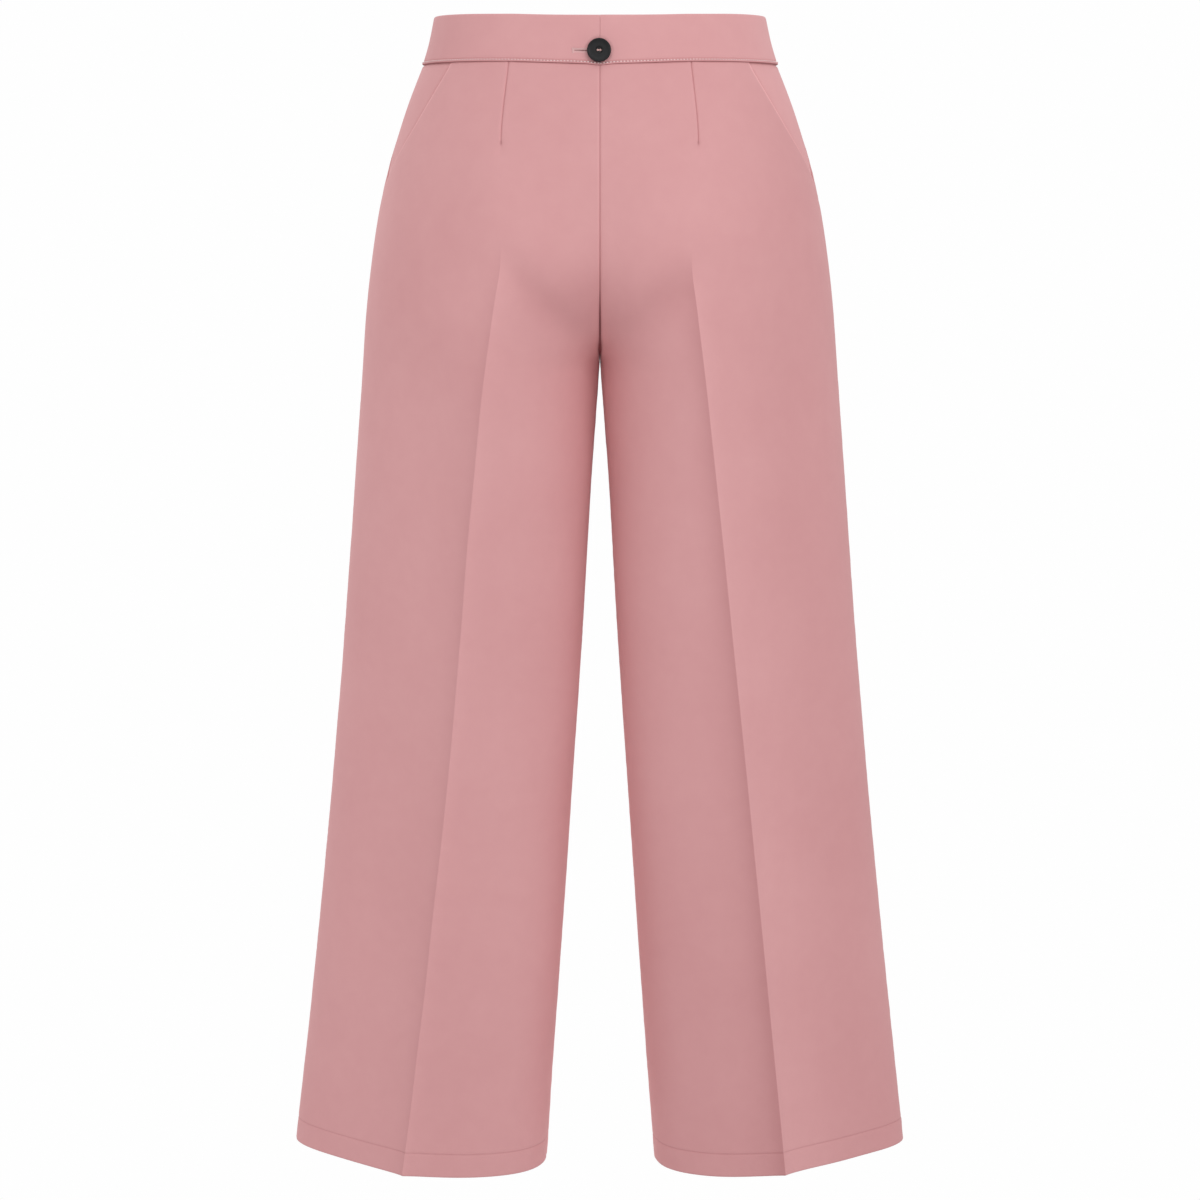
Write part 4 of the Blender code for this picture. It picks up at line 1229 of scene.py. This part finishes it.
def makePocket(name, node, side):
    depth = np.concatenate([np.linspace(0.0375, 0.0405, 2), np.arange(0.0425, 0.262, 0.0044), [0.262]])
    tuck = np.where(depth < 0.0418, 0.0011, 0.0)
    seam, mouth = seamTurns(side, depth), mouthTurns(side, depth)
    shown = np.array([run[-1] for run in distancesAlong(side, depth, seam, mouth)[1]])
    settle = pocketCut["settle"]
    leaf = np.maximum(shown, settle)
    reach = curveThrough("pocketBag", 1, depth)
    shares = np.linspace(0.0, 1.0, pocketCut["facingColumns"])
    bag = np.linspace(0.0, 1.0, pocketCut["bagColumns"])[1:]
    marks = np.concatenate([leaf[:, None] * shares, leaf[:, None] + (reach - leaf)[:, None] * bag], 1)
    turns, reached = distancesAlong(side, depth, seam, np.ones(len(depth)) * 3.0)
    turns = np.array([np.interp(m, r, t) for m, r, t in zip(marks, reached, turns)])
    marks[:, 0] = 0.0
    points, normals = formAt(side, depth, turns), normalsAt(side, depth, turns)
    sunk = ease((marks - shown[:, None] + settle) / settle) * pocketCut["behind"]
    edge = 0.00045 * (1 - np.sqrt(np.clip(marks / 0.0006, 0, 1)))
    drape = 0.0006 * uneven(91 + side, marks, depth[:, None], 5, 0.04, 0.12) * ease(marks / 0.03)
    offset = drape * ease(sunk / 0.002) - sunk - edge - tuck[:, None]
    points = points + normals * offset[..., None]
    cloth = clothMap(marks + 5.0 + side, depth[:, None])
    mesh = clothMesh(name, points, cloth, normals[len(depth) // 2, 10])
    piece = addPiece(name, mesh, pocketSuiting, [node])
    thicken(piece, pocketCut["thickness"])


makePocket("leftPocket", "pocket_left", leftSide)
makePocket("rightPocket", "pocket_right", rightSide)
print("pockets hung")

# Concealed zip behind the seat seam

zipCut = {
    "top": 0.0445,
    "bottom": 0.180,
    "width": 0.026,
    "behind": -0.0032,
    "thickness": 0.0008,
    "toothPitch": 0.0013,
    # length, width and height of one turn of the coil
    "tooth": (0.0034, 0.0009, 0.0008),
    "flat": (0.026, 0.135),
}


def makeZip():
    half = zipCut["width"] / 2
    depths = np.linspace(zipCut["top"], zipCut["bottom"], 60)
    xs = half * np.array([-1.0, -0.9, -0.7, -0.45, -0.2, -0.1, 0.1, 0.2, 0.45, 0.7, 0.9, 1.0])
    rows = onBack(xs, depths, zipCut["behind"])[0]
    cloth = clothMap(xs[None, :] + 8.0, depths[:, None])
    mesh = clothMesh("backZipTape", rows, cloth, (0, -1, 0))
    piece = addPiece("backZipTape", mesh, tapeCloth, ["back_zip"])
    thicken(piece, zipCut["thickness"])
    teeth = []
    inside = zipCut["behind"] - zipCut["thickness"] - 0.0004
    toothDepths = np.arange(zipCut["top"] + 0.004, zipCut["bottom"] - 0.006, zipCut["toothPitch"])
    places, out = onBack([-0.0007, 0.0007], toothDepths, inside)
    for k in range(len(toothDepths)):
        way = k % 2
        slant = (1.0, 0.0, 0.18 if way else -0.18)
        teeth.append((places[k, way], slant, out[k, way], *zipCut["tooth"]))
    addPiece("backZipCoil", stitchMesh("backZipCoil", teeth), threads["buttonhole"], ())


makeZip()
print("zip closed")

# Camera, light and floor

cameraSetup = {"place": (0.0, -2.6, -0.14), "pitch": 8.207, "angle": 23.43}
cameraData = bpy.data.cameras.new("camera")
cameraData.angle = math.radians(cameraSetup["angle"])
camera = addObject("camera", cameraData)
camera.location = cameraSetup["place"]
camera.rotation_euler = (math.radians(90 - cameraSetup["pitch"]), 0.0, 0.0)
scene.camera = camera

studio = {
    "ambient": 0.77,
    "background": 0.992,
    "floorTone": 0.86,
    "floorZ": -1.30,
    "floorSize": 14.0,
    "lights": [
        # name, place, aim, size, watts
        ("keySoftbox", (1.3, -1.5, 0.7), (0.0, 0.0, -0.3), 0.9, 7.4),
        ("topSoftbox", (0.0, -1.3, 1.0), (0.0, 0.0, -0.15), 1.0, 4.0),
        ("fillSoftbox", (-2.2, -1.0, 0.2), (0.0, 0.0, -0.45), 1.2, 2.6),
        ("frontSoftbox", (-1.5, 2.0, 0.8), (0.0, 0.0, -0.35), 1.2, 11.0),
        ("frontTopSoftbox", (0.7, 1.6, 1.3), (0.0, 0.0, -0.25), 1.0, 6.0),
    ],
}


def makeStudio():
    # the backdrop and the floor show white, and light the cloth less than that
    world = bpy.data.worlds.new("studio")
    scene.world = world
    world.use_nodes = True
    tree = world.node_tree
    add = nodeMaker(tree)
    seen = add("ShaderNodeLightPath").outputs["Is Camera Ray"]
    extra = studio["background"] - studio["ambient"]
    strength = add("ShaderNodeMath", {"operation": "MULTIPLY_ADD"}, (seen, extra, studio["ambient"]))
    put(tree, tree.nodes["Background"].inputs["Color"], (1.0, 1.0, 1.0, 1.0))
    put(tree, tree.nodes["Background"].inputs["Strength"], strength.outputs[0])

    pale = bpy.data.materials.new("paleFloor")
    pale.use_nodes = True
    tree = pale.node_tree
    add = nodeMaker(tree)
    diffuse = tree.nodes["Principled BSDF"]
    put(tree, diffuse.inputs["Base Color"], (*[studio["floorTone"]] * 3, 1.0))
    put(tree, diffuse.inputs["Roughness"], 0.95)
    seen = add("ShaderNodeLightPath").outputs["Is Camera Ray"]
    glow = add("ShaderNodeEmission", Strength=studio["background"]).outputs[0]
    mix = add("ShaderNodeMixShader", None, (seen, diffuse.outputs[0], glow))
    put(tree, tree.nodes["Material Output"].inputs["Surface"], mix.outputs[0])
    ground = bmesh.new()
    place = Matrix.Translation((0, 0, studio["floorZ"]))
    bmesh.ops.create_grid(ground, x_segments=2, y_segments=2, size=studio["floorSize"], matrix=place)
    mesh = keepMesh("floor", ground)
    mesh.materials.append(pale)
    addObject("floor", mesh)

    for name, place, aim, size, watts in studio["lights"]:
        data = bpy.data.lights.new(name, "AREA")
        data.size = size
        data.energy = watts
        lamp = addObject(name, data)
        lamp.location = place
        lamp.rotation_euler = (Vector(aim) - Vector(place)).to_track_quat("-Z", "Y").to_euler()


makeStudio()
scene.view_settings.view_transform = "Standard"
print("camera and lights set")
